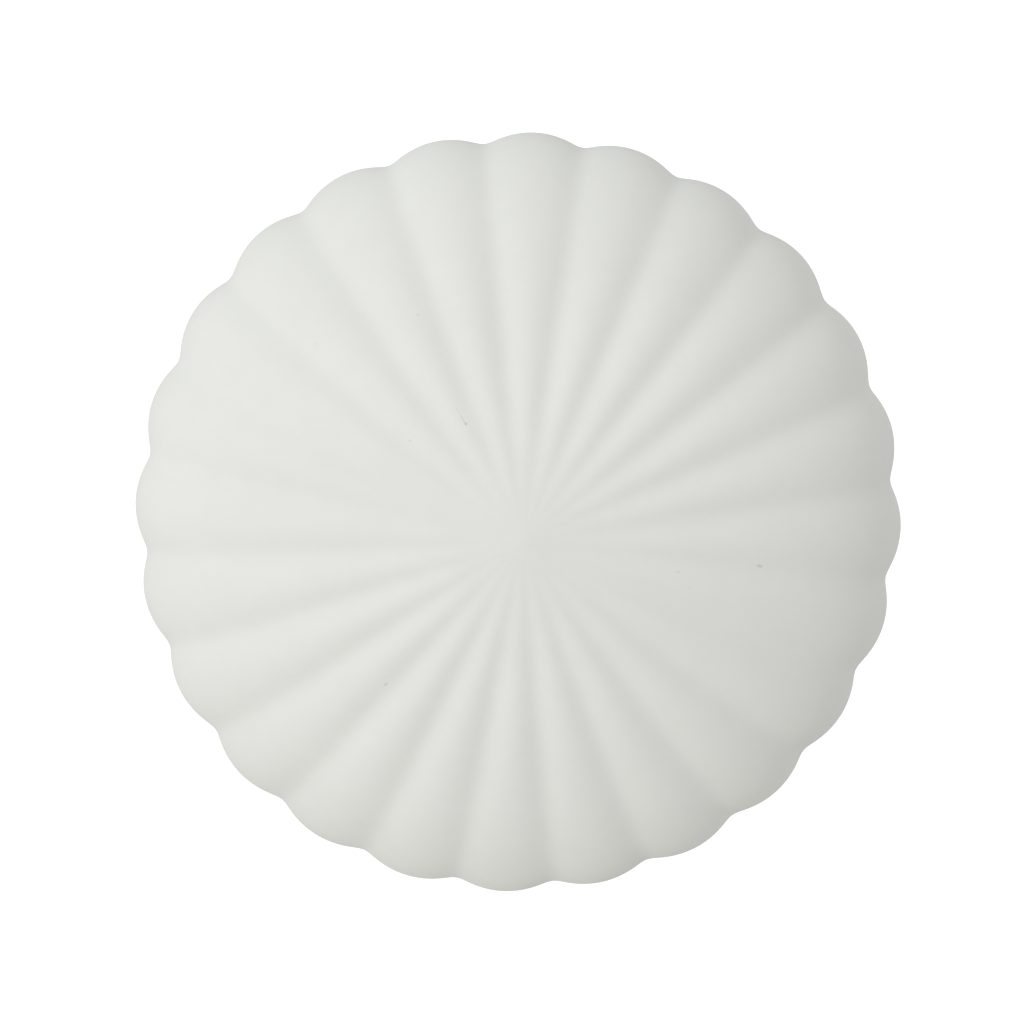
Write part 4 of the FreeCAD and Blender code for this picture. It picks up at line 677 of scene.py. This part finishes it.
class SCONCE_OT_stage(bpy.types.Operator):
    """Set the camera, the soft lamps, the white surround and the pale floor"""
    bl_idname = "sconce.stage"
    bl_label = "Stage"

    def execute(self, context):
        sizes = context.scene.sconce_stage
        self.camera(context, sizes)
        self.lamps(sizes)
        self.surround(context, sizes)
        self.floor(sizes)
        context.scene.view_settings.view_transform = "Standard"
        return {"FINISHED"}

    def camera(self, context, sizes):
        away = camera_axes(sizes)[0]
        bpy.ops.object.camera_add()
        eye = context.object
        eye.name = "photo_camera"
        eye.location = Vector(sizes.aim) + away * sizes.distance
        eye.rotation_euler = (-away).to_track_quat("-Z", "Y").to_euler()
        eye.data.lens = sizes.lens
        eye.data.sensor_width = 36.0
        eye.data.clip_start = 0.01
        eye.data.clip_end = sizes.floor_size
        context.scene.camera = eye

    def lamps(self, sizes):
        away, right = camera_axes(sizes)
        source = right * -sizes.key_left + away * sizes.key_front
        bpy.ops.object.light_add(type="SUN")
        key = bpy.context.object
        key.name = "soft_key"
        key.rotation_euler = source.to_track_quat("Z", "Y").to_euler()
        key.data.energy = sizes.key
        key.data.angle = sizes.key_angle

    def surround(self, context, sizes):
        """Even light on the object, and plain white to the camera, in reflections and through glass."""
        world = bpy.data.worlds.new("surround")
        context.scene.world = world
        world.use_nodes = True
        tree = world.node_tree
        tree.nodes.clear()
        ray = stage_node(tree, "ShaderNodeLightPath", {}, {}).outputs
        mirrored = stage_node(tree, "ShaderNodeMath", {"operation": "MAXIMUM"},
                              {0: ray["Is Glossy Ray"], 1: ray["Is Transmission Ray"]})
        seen = stage_node(tree, "ShaderNodeMath", {"operation": "MAXIMUM"},
                          {0: ray["Is Camera Ray"], 1: mirrored.outputs[0]})
        strength = stage_node(tree, "ShaderNodeMapRange", {},
                              {"Value": seen.outputs[0], "To Min": sizes.sky, "To Max": 1.0})
        white = stage_node(tree, "ShaderNodeBackground", {},
                           {"Color": (1.0, 1.0, 1.0, 1.0), "Strength": strength.outputs[0]})
        stage_node(tree, "ShaderNodeOutputWorld", {}, {"Surface": white.outputs[0]})

    def floor(self, sizes):
        """A matte floor, lifted to white where the camera or a reflection sees it."""
        deselect_all()
        bpy.ops.mesh.primitive_plane_add(size=sizes.floor_size, location=(0.0, 0.0, -sizes.floor_drop))
        floor = bpy.context.object
        floor.name = "pale_floor"
        material = bpy.data.materials.new("pale_floor")
        material.use_nodes = True
        tree = material.node_tree
        tree.nodes.clear()
        matte = stage_node(tree, "ShaderNodeBsdfDiffuse", {}, {"Color": (*sizes.floor_colour, 1.0)})
        ray = stage_node(tree, "ShaderNodeLightPath", {}, {}).outputs
        seen = stage_node(tree, "ShaderNodeMath", {"operation": "MAXIMUM"},
                          {0: ray["Is Camera Ray"], 1: ray["Is Glossy Ray"]})
        gain = stage_node(tree, "ShaderNodeMath", {"operation": "MULTIPLY"},
                          {0: seen.outputs[0], 1: sizes.floor_lift})
        lift = stage_node(tree, "ShaderNodeEmission", {}, {"Strength": gain.outputs[0]})
        both = stage_node(tree, "ShaderNodeAddShader", {}, {0: matte.outputs[0], 1: lift.outputs[0]})
        stage_node(tree, "ShaderNodeOutputMaterial", {}, {"Surface": both.outputs[0]})
        floor.data.materials.append(material)


class SCONCE_PT_panel(bpy.types.Panel):
    """Sizes, colours and build steps of the sconce"""
    bl_idname = "SCONCE_PT_panel"
    bl_label = "Shell wall sconce"
    bl_space_type = "VIEW_3D"
    bl_region_type = "UI"
    bl_category = "Sconce"

    def draw(self, context):
        layout = self.layout
        for name in ("sconce_dome", "sconce_colours", "sconce_stage"):
            group = getattr(context.scene, name)
            box = layout.box()
            for key in group.__class__.__annotations__:
                box.prop(group, key)
        for step in STEPS:
            layout.operator(step)


STEPS = ("sconce.dome", "sconce.fittings", "sconce.stage")
CLASSES = (DomeSizes, SconceColours, StageSizes, SCONCE_OT_dome, SCONCE_OT_fittings, SCONCE_OT_stage,
           SCONCE_PT_panel)


def register():
    for cls in CLASSES:
        bpy.utils.register_class(cls)
    bpy.types.Scene.sconce_dome = bpy.props.PointerProperty(type=DomeSizes)
    bpy.types.Scene.sconce_colours = bpy.props.PointerProperty(type=SconceColours)
    bpy.types.Scene.sconce_stage = bpy.props.PointerProperty(type=StageSizes)


def unregister():
    del bpy.types.Scene.sconce_stage
    del bpy.types.Scene.sconce_colours
    del bpy.types.Scene.sconce_dome
    for cls in reversed(CLASSES):
        bpy.utils.unregister_class(cls)


def main():
    register()
    bpy.ops.sconce.dome()
    bpy.ops.sconce.fittings()
    bpy.ops.sconce.stage()


if __name__ == "__main__":
    main()
